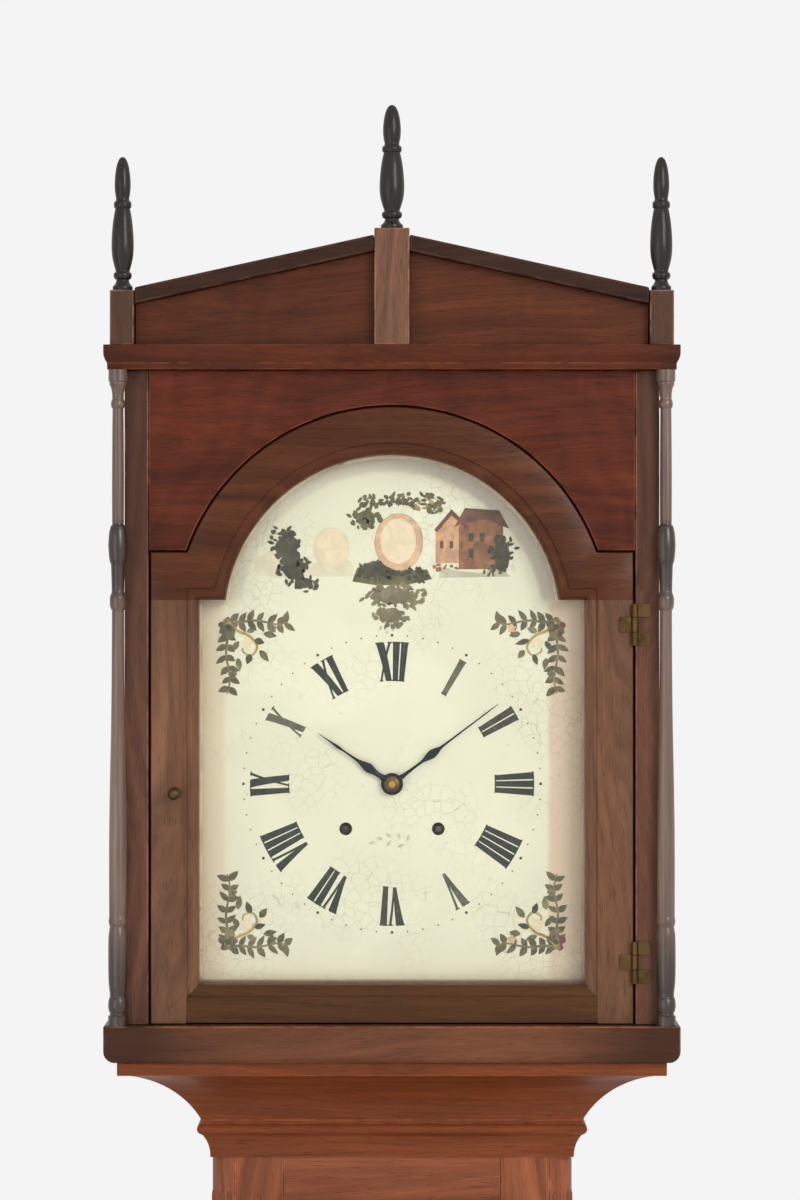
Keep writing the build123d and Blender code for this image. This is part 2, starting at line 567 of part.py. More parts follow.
with BuildPart() as escape_wheel:
    x, z = pos("escape")
    pinion(x, z, dy(9), dy(17), 7, 0.6, ph_e7)
    pts = []
    for k in range(30):
        a = 2 * math.pi * k / 30
        pts.append((16.0 * math.cos(a), 16.0 * math.sin(a)))
        pts.append((15.9 * math.cos(a + 0.02), 15.9 * math.sin(a + 0.02)))
        pts.append((13.2 * math.cos(a + 0.07), 13.2 * math.sin(a + 0.07)))
        pts.append((13.2 * math.cos(a + 0.17), 13.2 * math.sin(a + 0.17)))
    with BuildSketch(at_y(dy(49.5))) as sk:
        with Locations((x, z)):
            with BuildLine(mode=Mode.PRIVATE) as ln:
                Polyline(*pts, close=True)
            add(make_face(ln.edges(), mode=Mode.PRIVATE))
            Circle(11.4, mode=Mode.SUBTRACT)
            Circle(4)
            Rectangle(23.4, 2)
            Rectangle(2, 23.4)
    extrude(sk.sketch, amount=1.5)
    rod_y(x, z, 1.5, dy(0.3), dy(59.7))
    rod_y(x, z, 1.15, dy(-3), dy(63))
save("escape_wheel", escape_wheel.part)

with BuildPart() as anchor:               # pallets, arbor and crutch
    x, z = pos("anchor")
    pal = [(0, 3.4), (-9, 0.5), (-15, -6), (-16.4, -13.0), (-12.4, -11.2), (-10.2, -5.4), (0, -2.6),
           (10.2, -5.4), (12.4, -11.2), (16.4, -13.0), (15, -6), (9, 0.5)]
    extrude(face_of(at_y(dy(51)), [(x + a, z + b) for a, b in pal]), amount=5)
    rod_y(x, z, 2.0, dy(0.3), 34)
    rod_y(x, z, 1.15, dy(-3), 44)
    rod_y(x, z, 4.0, 33, 36)
    box(x - 1.5, x + 1.5, 33, 36, z - 102, z)
    for s in (-1, 1):
        a, c = sorted((s * 2.6, s * 4.2))
        box(a, c, 33, 55, z - 102, z - 97)
    box(-4.2, 4.2, 33, 36, z - 102, z - 97)
save("anchor", anchor.part)

with BuildPart() as back_cock:            # bridge for the anchor; chops of the suspension
    z = PEND_Z
    box(-26, 26, 40, 44, z - 8, z + 22)
    for s in (-1, 1):
        a, c = sorted((s * 17, s * 26))
        box(a, c, BP1 + GAP, 40, z + 4, z + 22)
    rod_y(0, z, 1.2, 39, 45, mode=Mode.SUBTRACT)
    box(-9, 9, 44, 58, z + 12, z + 22)
    box(-1.2, 1.2, 47, 59, z + 10, z + 24, mode=Mode.SUBTRACT)
    box(-1.1, 1.1, 47.2, 54.8, z + 12, z + 24)          # chops
    box(-0.2, 0.2, 48, 54, z + 0.6, z + 12)             # top of the spring
save("back_cock", back_cock.part)

with BuildPart() as pendulum_rod:         # spring, block and iron rod
    z = PEND_Z
    box(-0.2, 0.2, 48, 54, z - 26, z)
    box(-2.2, 2.2, 47.5, 54.5, z - 40, z - 24)
    rod_z(0, PEND_Y, 2.2, z - PEND_L - 82, z - 40)
save("pendulum_rod", pendulum_rod.part)

with BuildPart() as pendulum_bob:         # lenticular bob and rating nut
    zb = PEND_Z - PEND_L
    pl = Plane(origin=(0, 0, zb), x_dir=(1, 0, 0), z_dir=(0, 0, 1))
    bobp = [(0, PEND_Y - 13), ((32, PEND_Y - 9.2), (55, PEND_Y - 1.2)), (55, PEND_Y + 1.2), ((32, PEND_Y + 9.2), (0, PEND_Y + 13))]
    revolve(face_of(pl, bobp), axis=Axis((0, 0, zb), (0, 1, 0)))
    rod_z(0, PEND_Y, 2.25, zb - 60, zb + 60, mode=Mode.SUBTRACT)
    rod_z(0, PEND_Y, 8, zb - 70, zb - 61)
    rod_z(0, PEND_Y, 2.25, zb - 72, zb - 59, mode=Mode.SUBTRACT)
save("pendulum_bob", pendulum_bob.part)

# ---- barrels with their winding squares


def barrel(key, d0, d1, rat_d):
    x, z = pos(key)
    with BuildPart() as b:
        rod_y(x, z, 3.0, dy(-6), dy(63))
        rod_y(x, z, DRUM_R, dy(d0), dy(d1))
        rod_y(x, z, 19.0, dy(d0 - 2), dy(d0))
        rod_y(x, z, 19.0, dy(d1), dy(d1 + 2))
        box(x - 2.1, x + 2.1, DIAL_Y - 1.5, dy(-6), z - 2.1, z + 2.1)
        pts = []
        for k in range(24):
            a = 2 * math.pi * k / 24
            pts.append((14.0 * math.cos(a), 14.0 * math.sin(a)))
            pts.append((12.2 * math.cos(a + 0.04), 12.2 * math.sin(a + 0.04)))
        with BuildSketch(at_y(dy(rat_d[1]))) as sk:
            with Locations((x, z)):
                with BuildLine(mode=Mode.PRIVATE) as ln:
                    Polyline(*pts, close=True)
                add(make_face(ln.edges(), mode=Mode.PRIVATE))
        extrude(sk.sketch, amount=rat_d[1] - rat_d[0])
    return b.part


save("time_barrel", barrel("time_barrel", 10, 41, (43, 45.5)))
save("strike_barrel", barrel("strike_barrel", 14, 50, (9, 12)))

# ---- striking train
ph_sg = 0.0
ph_p8 = mesh_phase(84, ph_sg, PINS["strike_barrel"], 8, PINS["pin"])
ph_p56 = 0.0
ph_g8 = mesh_phase(56, ph_p56, PINS["pin"], 8, PINS["gather"])
ph_g56 = 0.0
ph_w7 = mesh_phase(56, ph_g56, PINS["gather"], 7, PINS["warn"])
ph_w48 = 0.0
ph_f7 = mesh_phase(48, ph_w48, PINS["warn"], 7, PINS["fly"])

with BuildPart() as strike_great_wheel:
    x, z = pos("strike_barrel")
    wheel(x, z, dy(6), dy(8.5), 84, 0.9, ph_sg, hub=9)
    rod_y(x, z, 3.05, dy(5), dy(10), mode=Mode.SUBTRACT)
    rod_y(x + 16.4 * math.cos(ph_sg), z + 16.4 * math.sin(ph_sg), 2.1, dy(8), dy(11.6))         # click
save("strike_great_wheel", strike_great_wheel.part)

with BuildPart() as pin_wheel:
    x, z = pos("pin")
    pinion(x, z, dy(3), dy(11.5), 8, 0.9, ph_p8)
    wheel(x, z, dy(20), dy(22), 56, 0.7, ph_p56, hub=5)
    rod_y(x, z, 1.8, dy(0.3), dy(59.7))
    rod_y(x, z, 1.15, dy(-3), dy(63))
    for k in range(8):
        a = 2 * math.pi * (k + 0.5) / 8
        rod_y(x + 16.2 * math.cos(a), z + 16.2 * math.sin(a), 0.9, dy(22), dy(27))
save("pin_wheel", pin_wheel.part)

with BuildPart() as gathering_wheel:
    x, z = pos("gather")
    pinion(x, z, dy(17), dy(25), 8, 0.7, ph_g8)
    wheel(x, z, dy(38), dy(40), 56, 0.6, ph_g56, hub=5)
    rod_y(x, z, 1.6, dy(0.3), dy(59.7))
    rod_y(x, z, 1.15, dy(-8), dy(63))
save("gathering_wheel", gathering_wheel.part)

with BuildPart() as warning_wheel:
    x, z = pos("warn")
    pinion(x, z, dy(35), dy(43), 7, 0.6, ph_w7)
    wheel(x, z, dy(22.5), dy(24), 48, 0.5, ph_w48, hub=4)
    rod_y(x, z, 1.5, dy(0.3), dy(59.7))
    rod_y(x, z, 1.15, dy(-3), dy(63))
save("warning_wheel", warning_wheel.part)

with BuildPart() as fly:                  # air brake of the striking train
    x, z = pos("fly")
    pinion(x, z, dy(19), dy(27), 7, 0.5, ph_f7)
    rod_y(x, z, 1.2, dy(0.3), dy(59.7))
    rod_y(x, z, 1.15, dy(-3), dy(63))
    box(x - 10.4, x + 10.4, dy(28), dy(34), z - 0.7, z + 0.7)
    rod_y(x, z, 2.4, dy(28), dy(34))
save("fly", fly.part)

BELL_X, BELL_Y, BELL_Z = 6.0, -4.0, ZD + 98.0
with BuildPart() as hammer:
    x, z = pos("hammer")
    rod_y(x, z, 2.0, dy(0.3), dy(59.7))
    rod_y(x, z, 1.15, dy(-3), dy(63))
    dx, dz = PINS["pin"][0] - PINS["hammer"][0], PINS["pin"][1] - PINS["hammer"][1]
    dd = math.hypot(dx, dz)
    ux, uz = dx / dd, dz / dd
    e = dd - 17.9
    nx, nz = -uz, ux
    extrude(face_of(at_y(dy(26)), [(x + nx * 2, z + nz * 2), (x + ux * e + nx * 1.4, z + uz * e + nz * 1.4),
                                   (x + ux * e - nx * 1.4, z + uz * e - nz * 1.4), (x - nx * 2, z - nz * 2)]), amount=3)
    hx, hz = -38.5, ZD + 106.0
    extrude(face_of(at_y(dy(57)), [(x - 2, z), (x + 2, z), (hx + 2, hz), (hx - 2, hz)]), amount=3)
    rod_x(dy(55.5), hz, 5.0, hx - 7, hx + 3)
save("hammer", hammer.part)

with BuildPart() as bell:                 # hemispherical bell and its stand
    b0 = BELL_Z
    bp = [(41.5, b0), (43.5, b0), ((37.5, b0 + 20), (20, b0 + 33)), ((10, b0 + 36), (3.1, b0 + 36.6)), (3.1, b0 + 34.4),
          ((10, b0 + 33.8), (19, b0 + 31)), ((35.6, b0 + 19), (41.5, b0))]
    revolve(turned(BELL_X, BELL_Y, bp), axis=z_axis(BELL_X, BELL_Y))
    box(3, 13, BP1 + GAP, BP1 + 4, ZD + 71, b0 + 48)
    box(3, 13, BELL_Y - 5, BP1 + 4, b0 + 44, b0 + 48)
    rod_z(BELL_X, BELL_Y, 2.0, b0 + 30, b0 + 46)
    rod_z(BELL_X, BELL_Y, 4.5, b0 + 36.9, b0 + 44)
    rod_z(BELL_X, BELL_Y, 4.5, b0 + 30, b0 + 34.1)
save("bell", bell.part)

# ---- motion work and hands
with BuildPart() as minute_wheel:
    x, z = MW[0], ZD + MW[1]
    wheel(x, z, -41, -39, 40, 0.6, ph_mw)
    pinion(x, z, -48, -41, 6, 0.615384, ph_mp)
    rod_y(x, z, 0.75, -52, -36, mode=Mode.SUBTRACT)
save("minute_wheel", minute_wheel.part)

with BuildPart() as hour_wheel:           # wheel, pipe and the striking snail
    wheel(0, ZD, -46.5, -44, 72, 0.615384, ph_hw)
    rod_y(0, ZD, 4.0, -87.2, -44)
    sn = []
    for k in range(12):
        for f in (0.02, 0.5, 0.98):
            a = -2 * math.pi * (k + f) / 12
            r = 10.5 + 0.75 * k
            sn.append((r * math.cos(a), ZD + r * math.sin(a)))
    with BuildSketch(at_y(-46.5)) as sk:
        with BuildLine():
            Polyline(*sn, close=True)
        make_face()
    extrude(sk.sketch, amount=2)
    rod_y(0, ZD, 2.62, -90, -42, mode=Mode.SUBTRACT)
save("hour_wheel", hour_wheel.part)


def hand(angle, y1, t, pts, bore, ring):
    a = math.radians(angle)
    q = []
    for u, v in pts:                      # u across, v along the hand
        q.append((v * math.sin(a) + u * math.cos(a), ZD + v * math.cos(a) - u * math.sin(a)))
    with BuildPart() as h:
        extrude(face_of(at_y(y1), q), amount=t)
        rod_y(0, ZD, ring, y1 - t, y1)
        rod_y(0, ZD, bore, y1 - t - 1, y1 + 1, mode=Mode.SUBTRACT)
    return h.part


MIN_HAND = [(2.6, 5), (1.5, 14), (1.3, 29), (3.6, 39), (1.3, 48), (1.0, 60), (0.8, 92), (0.3, 104)]
HOUR_HAND = [(3.4, 6), (2.0, 13), (3.8, 24), (1.6, 33), (1.2, 44), (1.9, 51), (0.9, 58), (0.3, 70)]


def both_sides(half):
    return [(-u, v) for u, v in half] + [(u, v) for u, v in reversed(half)]


save("minute_hand", hand(53.0, -89.0, 1.2, both_sides(MIN_HAND), 2.58, 7.0))
save("hour_hand", hand(304.4, -85.2, 1.2, both_sides(HOUR_HAND), 4.03, 8.5))

# ---- weights, pulleys and lines
for key in ("time", "strike"):
    px = PUL_X[key]
    with BuildPart() as pulley:
        rod_y(px, PUL_Z, 19.5, LINE_Y - 3.5, LINE_Y + 3.5)
        with BuildSketch(at_y(LINE_Y + 1.3)) as sk:
            with Locations((px, PUL_Z)):
                Circle(21)
                Circle(16.2, mode=Mode.SUBTRACT)
        extrude(sk.sketch, amount=2.6, mode=Mode.SUBTRACT)
        rod_y(px, PUL_Z, 2.05, LINE_Y - 5, LINE_Y + 5, mode=Mode.SUBTRACT)
    save(key + "_pulley", pulley.part)
    with BuildPart() as weight:           # stirrup, hook and cylindrical weight
        rod_y(px, PUL_Z, 2.0, LINE_Y - 7, LINE_Y + 7)
        for a, c in ((-6.2, -4.2), (4.2, 6.2)):
            box(px - 3.5, px + 3.5, LINE_Y + a, LINE_Y + c, PUL_Z - 27, PUL_Z + 6)
        box(px - 3.5, px + 3.5, LINE_Y - 6.2, LINE_Y + 6.2, PUL_Z - 29, PUL_Z - 25)
        rod_z(px, LINE_Y, 2.4, PUL_Z - 50, PUL_Z - 28)
        w1 = PUL_Z - 48
        revolve(turned(px, LINE_Y, [(0, w1 - 226), (25, w1 - 226), ((27.2, w1 - 225), (28, w1 - 223)), (28, w1 - 8),
                                    ((26, w1 - 3), (20, w1)), (0, w1)]), axis=z_axis(px, LINE_Y))
    save(key + "_weight", weight.part)
    with BuildPart() as line:             # two falls of gut line, barrel side and tied side
        for q in (-1, 1):
            rod_z(px + q * PUL_R, LINE_Y, 0.75, PUL_Z, SEAT_Z0 - 2)
    save(key + "_line", line.part)

with BuildPart() as line_tops:            # upper ends of both lines, and their knots
    for k in ("time", "strike"):
        rod_z(LINE_X[k], LINE_Y, 0.75, SEAT_Z0 - 2, ZD + BAR_Z)
        rod_z(TIE_X[k], LINE_Y, 0.75, SEAT_Z0 - 2, SEAT_Z1 + 2)
        with Locations((TIE_X[k], LINE_Y, SEAT_Z1 + 3.2)):
            Sphere(3.0)
save("line_tops", line_tops.part)
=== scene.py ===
import json
import math
import random

import bmesh
import bpy
import numpy as np
from mathutils import Matrix, Vector


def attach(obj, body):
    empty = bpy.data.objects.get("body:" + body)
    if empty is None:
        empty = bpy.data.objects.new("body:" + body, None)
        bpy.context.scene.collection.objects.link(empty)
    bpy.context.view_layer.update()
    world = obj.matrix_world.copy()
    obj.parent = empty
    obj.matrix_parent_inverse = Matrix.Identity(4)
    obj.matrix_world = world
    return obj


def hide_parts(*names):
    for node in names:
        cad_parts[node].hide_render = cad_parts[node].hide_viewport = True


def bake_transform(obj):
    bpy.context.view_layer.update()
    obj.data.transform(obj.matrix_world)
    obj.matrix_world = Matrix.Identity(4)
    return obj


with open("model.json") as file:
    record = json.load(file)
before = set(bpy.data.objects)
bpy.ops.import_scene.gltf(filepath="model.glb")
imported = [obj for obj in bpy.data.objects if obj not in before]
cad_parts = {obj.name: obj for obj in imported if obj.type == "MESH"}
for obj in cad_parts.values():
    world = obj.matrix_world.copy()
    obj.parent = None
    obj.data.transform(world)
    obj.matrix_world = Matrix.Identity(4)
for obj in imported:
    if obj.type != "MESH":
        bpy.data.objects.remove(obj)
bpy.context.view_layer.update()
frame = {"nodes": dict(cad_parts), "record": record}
N = frame["nodes"]
BODY = {n: b for b, ns in frame["record"]["behaviour"]["bodies"].items() for n in ns}
scene = bpy.context.scene

# ------------------------------------------------------------------ constants (metres, same frame as the CAD)
ZD = 1.776                  # dial centre height
DIAL_Y = -0.082             # dial face
HD_F, HD_T = -0.1166, 0.020  # hood front and door thickness
OPEN_HW, HDR_HW = 0.149, 0.186
OPEN_Z0, SHOULDER, ARCH_CZ, ARCH_R = 1.6224, 1.919, 1.901, 0.130


# ------------------------------------------------------------------ camera
cam_data = bpy.data.cameras.new("camera")
cam = bpy.data.objects.new("camera", cam_data)
scene.collection.objects.link(cam)
CAM_D = 3.4
VIEW_H = 0.924              # height of the view at the hood's front
cam_data.sensor_width = 36.0
cam_data.sensor_fit = "AUTO"
cam_data.lens = 36.0 * CAM_D / VIEW_H
cam_data.clip_start, cam_data.clip_end = 0.05, 200
cam.location = (0.0062, HD_F - CAM_D, 1.919)
cam.rotation_euler = (math.radians(90), 0, 0)
scene.camera = cam


# ------------------------------------------------------------------ colour and node helpers
def lin(r, g, b):
    def f(c):
        c /= 255.0
        return c / 12.92 if c <= 0.04045 else ((c + 0.055) / 1.055) ** 2.4
    return (f(r), f(g), f(b), 1.0)


class M:
    """Small helper that wires a node material."""

    def __init__(self, name):
        self.m = bpy.data.materials.new(name)
        self.m.use_nodes = True
        self.t = self.m.node_tree
        self.t.nodes.clear()
        self.out = self.t.nodes.new("ShaderNodeOutputMaterial")

    def node(self, kind, ins=None, **props):
        n = self.t.nodes.new(kind)
        for k, v in props.items():
            setattr(n, k, v)
        for k, v in (ins or {}).items():
            self.set(n.inputs[k], v)
        return n

    def set(self, sock, v):
        if isinstance(v, bpy.types.NodeSocket):
            self.t.links.new(v, sock)
        elif v is not None:
            if hasattr(sock.default_value, "__len__") and not hasattr(v, "__len__"):
                v = (v,) * len(sock.default_value)
            sock.default_value = v

    def math(self, op, a, b=None, c=None, clamp=False):
        n = self.t.nodes.new("ShaderNodeMath")
        n.operation, n.use_clamp = op, clamp
        for i, v in enumerate((a, b, c)):
            if v is not None:
                self.set(n.inputs[i], v)
        return n.outputs[0]

    def vscale(self, v, s):
        n = self.t.nodes.new("ShaderNodeVectorMath")
        n.operation = "MULTIPLY"
        self.set(n.inputs[0], v)
        self.set(n.inputs[1], s)
        return n.outputs[0]

    def vadd(self, v, s):
        n = self.t.nodes.new("ShaderNodeVectorMath")
        n.operation = "ADD"
        self.set(n.inputs[0], v)
        self.set(n.inputs[1], s)
        return n.outputs[0]

    def noise(self, vec, scale=1.0, detail=4.0, rough=0.55, dist=0.0, out="Fac"):
        n = self.node("ShaderNodeTexNoise", {"Vector": vec, "Scale": scale, "Detail": detail, "Roughness": rough, "Distortion": dist})
        return n.outputs[out]

    def voronoi(self, vec, scale, feature="DISTANCE_TO_EDGE", rand=1.0):
        n = self.node("ShaderNodeTexVoronoi", {"Vector": vec, "Scale": scale, "Randomness": rand}, feature=feature)
        return n.outputs["Distance"]

    def wave(self, vec, scale, dist, detail, dscale, kind="BANDS", direction="X", profile="SIN"):
        n = self.node("ShaderNodeTexWave", {"Vector": vec, "Scale": scale, "Distortion": dist, "Detail": detail, "Detail Scale": dscale},
                      wave_type=kind, wave_profile=profile)
        if kind == "BANDS":
            n.bands_direction = direction
        return n.outputs["Fac"]

    def ramp(self, fac, stops, interp="LINEAR"):
        n = self.t.nodes.new("ShaderNodeValToRGB")
        n.color_ramp.interpolation = interp
        e = n.color_ramp.elements
        while len(e) < len(stops):
            e.new(0.5)
        for el, (p, c) in zip(e, stops):
            el.position = p
            el.color = c if hasattr(c, "__len__") else (c, c, c, 1)
        self.set(n.inputs[0], fac)
        return n.outputs[0]

    def mix(self, fac, a, b, mode="MIX"):
        n = self.t.nodes.new("ShaderNodeMix")
        n.data_type, n.blend_type = "RGBA", mode
        self.set(n.inputs[0], fac)
        self.set(n.inputs[6], a)
        self.set(n.inputs[7], b)
        return n.outputs[2]

    def smooth(self, x, lo, hi):
        n = self.node("ShaderNodeMapRange", {"Value": x, "From Min": lo, "From Max": hi}, interpolation_type="SMOOTHSTEP")
        return n.outputs[0]

    def obj(self):
        return self.node("ShaderNodeTexCoord").outputs["Object"]

    def attr(self, name, out="Vector"):
        return self.node("ShaderNodeAttribute", attribute_name=name).outputs[out]

    def xyz(self, v):
        n = self.node("ShaderNodeSeparateXYZ", {0: v})
        return n.outputs[0], n.outputs[1], n.outputs[2]

    def bump(self, h, dist, strength=1.0, normal=None):
        return self.node("ShaderNodeBump", {"Height": h, "Distance": dist, "Strength": strength, "Normal": normal}).outputs[0]

    def done(self, **ins):
        b = self.t.nodes.new("ShaderNodeBsdfPrincipled")
        for k, v in ins.items():
            self.set(b.inputs[k.replace("_", " ")], v)
        self.t.links.new(b.outputs[0], self.out.inputs[0])
        return self.m


# ------------------------------------------------------------------ materials
def wood(name, tone, figure=0.35, gloss=0.36, coat=0.045, pores=1.0, ribbon=0.0, flame=0.0, dirt=0.5, painted_shade=None, spread=1.0):
    """Polished mahogany.  gp is the board's own coordinate, its z along the grain; wear is 1 on rubbed edges."""
    mid = lin(*tone)
    dark = tuple(c * (1 - 0.50 * spread) for c in mid[:3]) + (1,)
    light = tuple(min(1, c * (1 + 0.62 * spread) + 0.002) for c in mid[:3]) + (1,)
    deep = tuple(c * 0.22 for c in mid[:3]) + (1,)
    m = M(name)
    p = m.attr("gp")
    wear = m.attr("wear", "Fac")
    o = m.obj()
    warp = m.noise(m.vscale(p, (7, 7, 1.3)), 1.0, 2, 0.5, 0, "Color")
    sweep = m.noise(m.vscale(p, (5.5, 5.5, 1.1)), 1.0, 2, 0.5, 0.6, "Color")
    pw = m.vadd(p, m.vscale(m.vadd(warp, (-0.5, -0.5, -0.5)), (0.012, 0.012, 0.03)))
    pw = m.vadd(pw, m.vscale(m.vadd(sweep, (-0.5, -0.5, -0.5)), (0.16, 0.16, 0.0)))
    streak = m.noise(m.vscale(pw, (150, 150, 5.0)), 1.0, 7, 0.62, 0.3)
    fine = m.noise(m.vscale(pw, (520, 520, 14.0)), 1.0, 4, 0.6, 0.2)
    band = m.wave(m.vscale(pw, (1, 1, 0.12)), 24, 5.0, 3, 1.2)
    broad = m.noise(m.vscale(pw, (15, 15, 1.6)), 1.0, 3, 0.5, 0.9)
    f = m.math("ADD", m.math("MULTIPLY", streak, 0.62), m.math("MULTIPLY", fine, 0.30))
    part = m.smooth(m.noise(m.vscale(p, (9, 9, 0.9)), 1.0, 2, 0.5, 0.4), 0.40, 0.62)
    f = m.math("ADD", f, m.math("MULTIPLY", m.math("MULTIPLY", m.math("SUBTRACT", band, 0.5), part), figure * 0.42))
    f = m.math("ADD", f, m.math("MULTIPLY", m.math("SUBTRACT", broad, 0.5), figure * 0.9))
    if flame:
        x, y, z = m.xyz(o)
        fl = m.node("ShaderNodeCombineXYZ", {0: m.math("ABSOLUTE", x), 1: 0.0, 2: z}).outputs[0]
        big = m.noise(o, 5.5, 3, 0.55, 1.2, "Color")
        feather = m.wave(m.vadd(m.vadd(m.vscale(fl, (1.5, 1, 0.75)), m.vscale(warp, 0.06)), m.vscale(big, 0.10)), 11, 14.0, 5, 0.7, direction="DIAGONAL")
        feather = m.math("ADD", m.math("MULTIPLY", feather, m.noise(o, 11.0, 4, 0.6)), 0.25)
        f = m.math("ADD", f, m.math("MULTIPLY", m.math("SUBTRACT", feather, 0.5), flame))
    if ribbon:
        rb = m.noise(m.vscale(p, (42, 42, 42)), 1.0, 2, 0.5, 1.5)
        f = m.math("ADD", f, m.math("MULTIPLY", m.math("SUBTRACT", rb, 0.5), ribbon))
    col = m.ramp(f, [(0.20, dark), (0.46, mid), (0.74, light)])
    # pores: short dark dashes along the grain
    pr = m.noise(m.vscale(p, (1500, 1500, 62)), 1.0, 2, 0.5)
    pore = m.smooth(pr, 0.60, 0.70)
    col = m.mix(m.math("MULTIPLY", pore, 0.5 * pores), col, deep)
    # old polish: darker where dirt gathers, paler and duller where hands and dusters rub
    age = m.noise(m.vscale(p, (26, 26, 5.0)), 1.0, 5, 0.5, 0.5)
    col = m.mix(m.math("MULTIPLY", m.smooth(age, 0.45, 0.80), dirt * 0.5), col, dark)
    stain = m.noise(o, 3.1, 3, 0.5, 0.3)
    col = m.mix(m.math("MULTIPLY", m.smooth(stain, 0.42, 0.72), 0.30), col, dark)
    # painted shade: the board's own mask darkens it towards the deep colour where shade falls
    if painted_shade:
        col = m.mix(painted_shade(m, o), col, deep)
    rub = m.noise(o, 55.0, 4, 0.6)
    w = m.math("MULTIPLY", wear, m.smooth(rub, 0.38, 0.62))
    col = m.mix(m.math("MULTIPLY", w, 0.5), col, tuple(min(1, c * 1.5 + 0.012) for c in light[:3]) + (1,))
    smear = m.noise(m.vscale(o, (1, 1, 1)), 17.0, 5, 0.65, 0.8)
    rough = m.math("ADD", gloss, m.math("MULTIPLY", m.math("SUBTRACT", smear, 0.4), 0.26))
    rough = m.math("ADD", rough, m.math("MULTIPLY", w, 0.18))
    h = m.math("ADD", m.math("MULTIPLY", pore, -0.7), m.math("MULTIPLY", streak, 0.25))
    b1 = m.bump(h, 0.00012)
    b2 = m.bump(m.noise(o, 14.0, 2, 0.5), 0.0012, 0.3, b1)
    return m.done(Base_Color=col, Roughness=rough, Normal=b2, Coat_Weight=coat, Coat_Roughness=0.14, Coat_Normal=m.bump(m.noise(o, 16.0, 3, 0.5), 0.0008, 0.4),
                  Specular_IOR_Level=0.14)


def below(z1, z0, amount):
    """Painted shade that deepens from height z1 to z0."""
    def g(m, o):
        x, y, z = m.xyz(o)
        return m.math("MULTIPLY", m.smooth(m.math("ADD", z, m.math("MULTIPLY", m.noise(o, 20.0, 4, 0.6), 0.04)), z1 + 0.02, z0 + 0.02), amount)
    return g


def beyond(x0, x1, amount, also=None):
    """Painted shade towards both ends of a moulding, where it turns the corners."""
    def g(m, o):
        x, y, z = m.xyz(o)
        v = m.math("ADD", m.math("ABSOLUTE", x), m.math("MULTIPLY", m.math("SUBTRACT", m.noise(o, 24.0, 4, 0.6), 0.5), 0.03))
        d = m.math("MULTIPLY", m.smooth(v, x0, x1), amount)
        return m.math("MAXIMUM", d, also(m, o)) if also else d
    return g


def raw_wood(name, dark, mid, light):
    """Sawn, unpolished secondary wood."""
    m = M(name)
    p = m.attr("gp")
    o = m.obj()
    streak = m.noise(m.vscale(p, (70, 70, 2.4)), 1.0, 6, 0.6, 0.6)
    saw = m.wave(p, 160, 1.5, 2, 1.0, direction="Z")
    knots = m.voronoi(m.vscale(p, (7, 7, 2.2)), 1.0, "F1")
    col = m.ramp(streak, [(0.25, dark), (0.5, mid), (0.75, light)])
    col = m.mix(m.math("MULTIPLY", m.smooth(knots, 0.10, 0.03), 0.8), col, tuple(c * 0.3 for c in dark[:3]) + (1,))
    stain = m.noise(o, 4.5, 6, 0.65)
    col = m.mix(m.math("MULTIPLY", m.smooth(stain, 0.5, 0.75), 0.5), col, tuple(c * 0.5 for c in dark[:3]) + (1,))
    h = m.math("ADD", m.math("MULTIPLY", saw, 0.35), streak)
    return m.done(Base_Color=col, Roughness=0.78, Normal=m.bump(h, 0.0004), Specular_IOR_Level=0.25)


def metal(name, base, tarnish, rough=0.28, spots=0.5, grain=(60, 60, 60), metallic=1.0, scratch=0.5):
    m = M(name)
    o = m.obj()
    t = m.noise(o, 26.0, 6, 0.65, 0.6)
    t2 = m.noise(o, 210.0, 4, 0.6)
    f = m.math("MULTIPLY", m.smooth(m.math("ADD", t, m.math("MULTIPLY", t2, 0.25)), 0.50, 0.86), spots)
    col = m.mix(f, base, tarnish)
    sc = m.noise(m.vscale(o, grain), 22.0, 3, 0.6)
    r = m.math("ADD", rough, m.math("ADD", m.math("MULTIPLY", f, 0.25), m.math("MULTIPLY", m.math("SUBTRACT", sc, 0.5), 0.25 * scratch)))
    n = m.bump(sc, 0.00003 * scratch + 0.00001)
    return m.done(Base_Color=col, Metallic=metallic, Roughness=r, Normal=n)


MAT = {}
# hood and trunk woods, tuned piece by piece
MAT["hood"] = wood("mahogany_hood", (78, 38, 23), figure=0.5)
# post, stile and frieze carry painted shade: darker up under the cornice and round the arch's top
MAT["post"] = wood("mahogany_post", (96, 61, 46), figure=0.4, painted_shade=below(1.84, 2.00, 0.50))
MAT["stile"] = wood("mahogany_stile", (102, 69, 49), figure=0.5, painted_shade=below(1.86, 1.95, 0.28), spread=1.15)
MAT["frieze"] = wood("mahogany_frieze", (84, 33, 14), figure=0.6, flame=0.15, spread=1.15, painted_shade=lambda m, o: m.math(
    "MULTIPLY", m.smooth(m.math("ADD", m.xyz(o)[2], m.math("MULTIPLY", m.noise(o, 16.0, 4, 0.6), 0.05)), 2.075, 2.035), 0.25))
MAT["arch"] = wood("mahogany_arch_rail", (74, 37, 16), figure=0.45)
MAT["tymp"] = wood("mahogany_tympanum", (80, 38, 16), figure=0.5, flame=0.07, spread=1.15)
MAT["rake"] = wood("mahogany_raking", (50, 27, 15), figure=0.3)
# cornice: painted shade towards its ends
MAT["cornice"] = wood("mahogany_cornice", (76, 32, 11), figure=0.45, painted_shade=beyond(0.17, 0.225, 0.5))
# the door's bottom rail: the stiles' mahogany in a darker copy, painted shade
MAT["dark"] = wood("mahogany_rail_shaded", (76, 46, 20), figure=0.4)
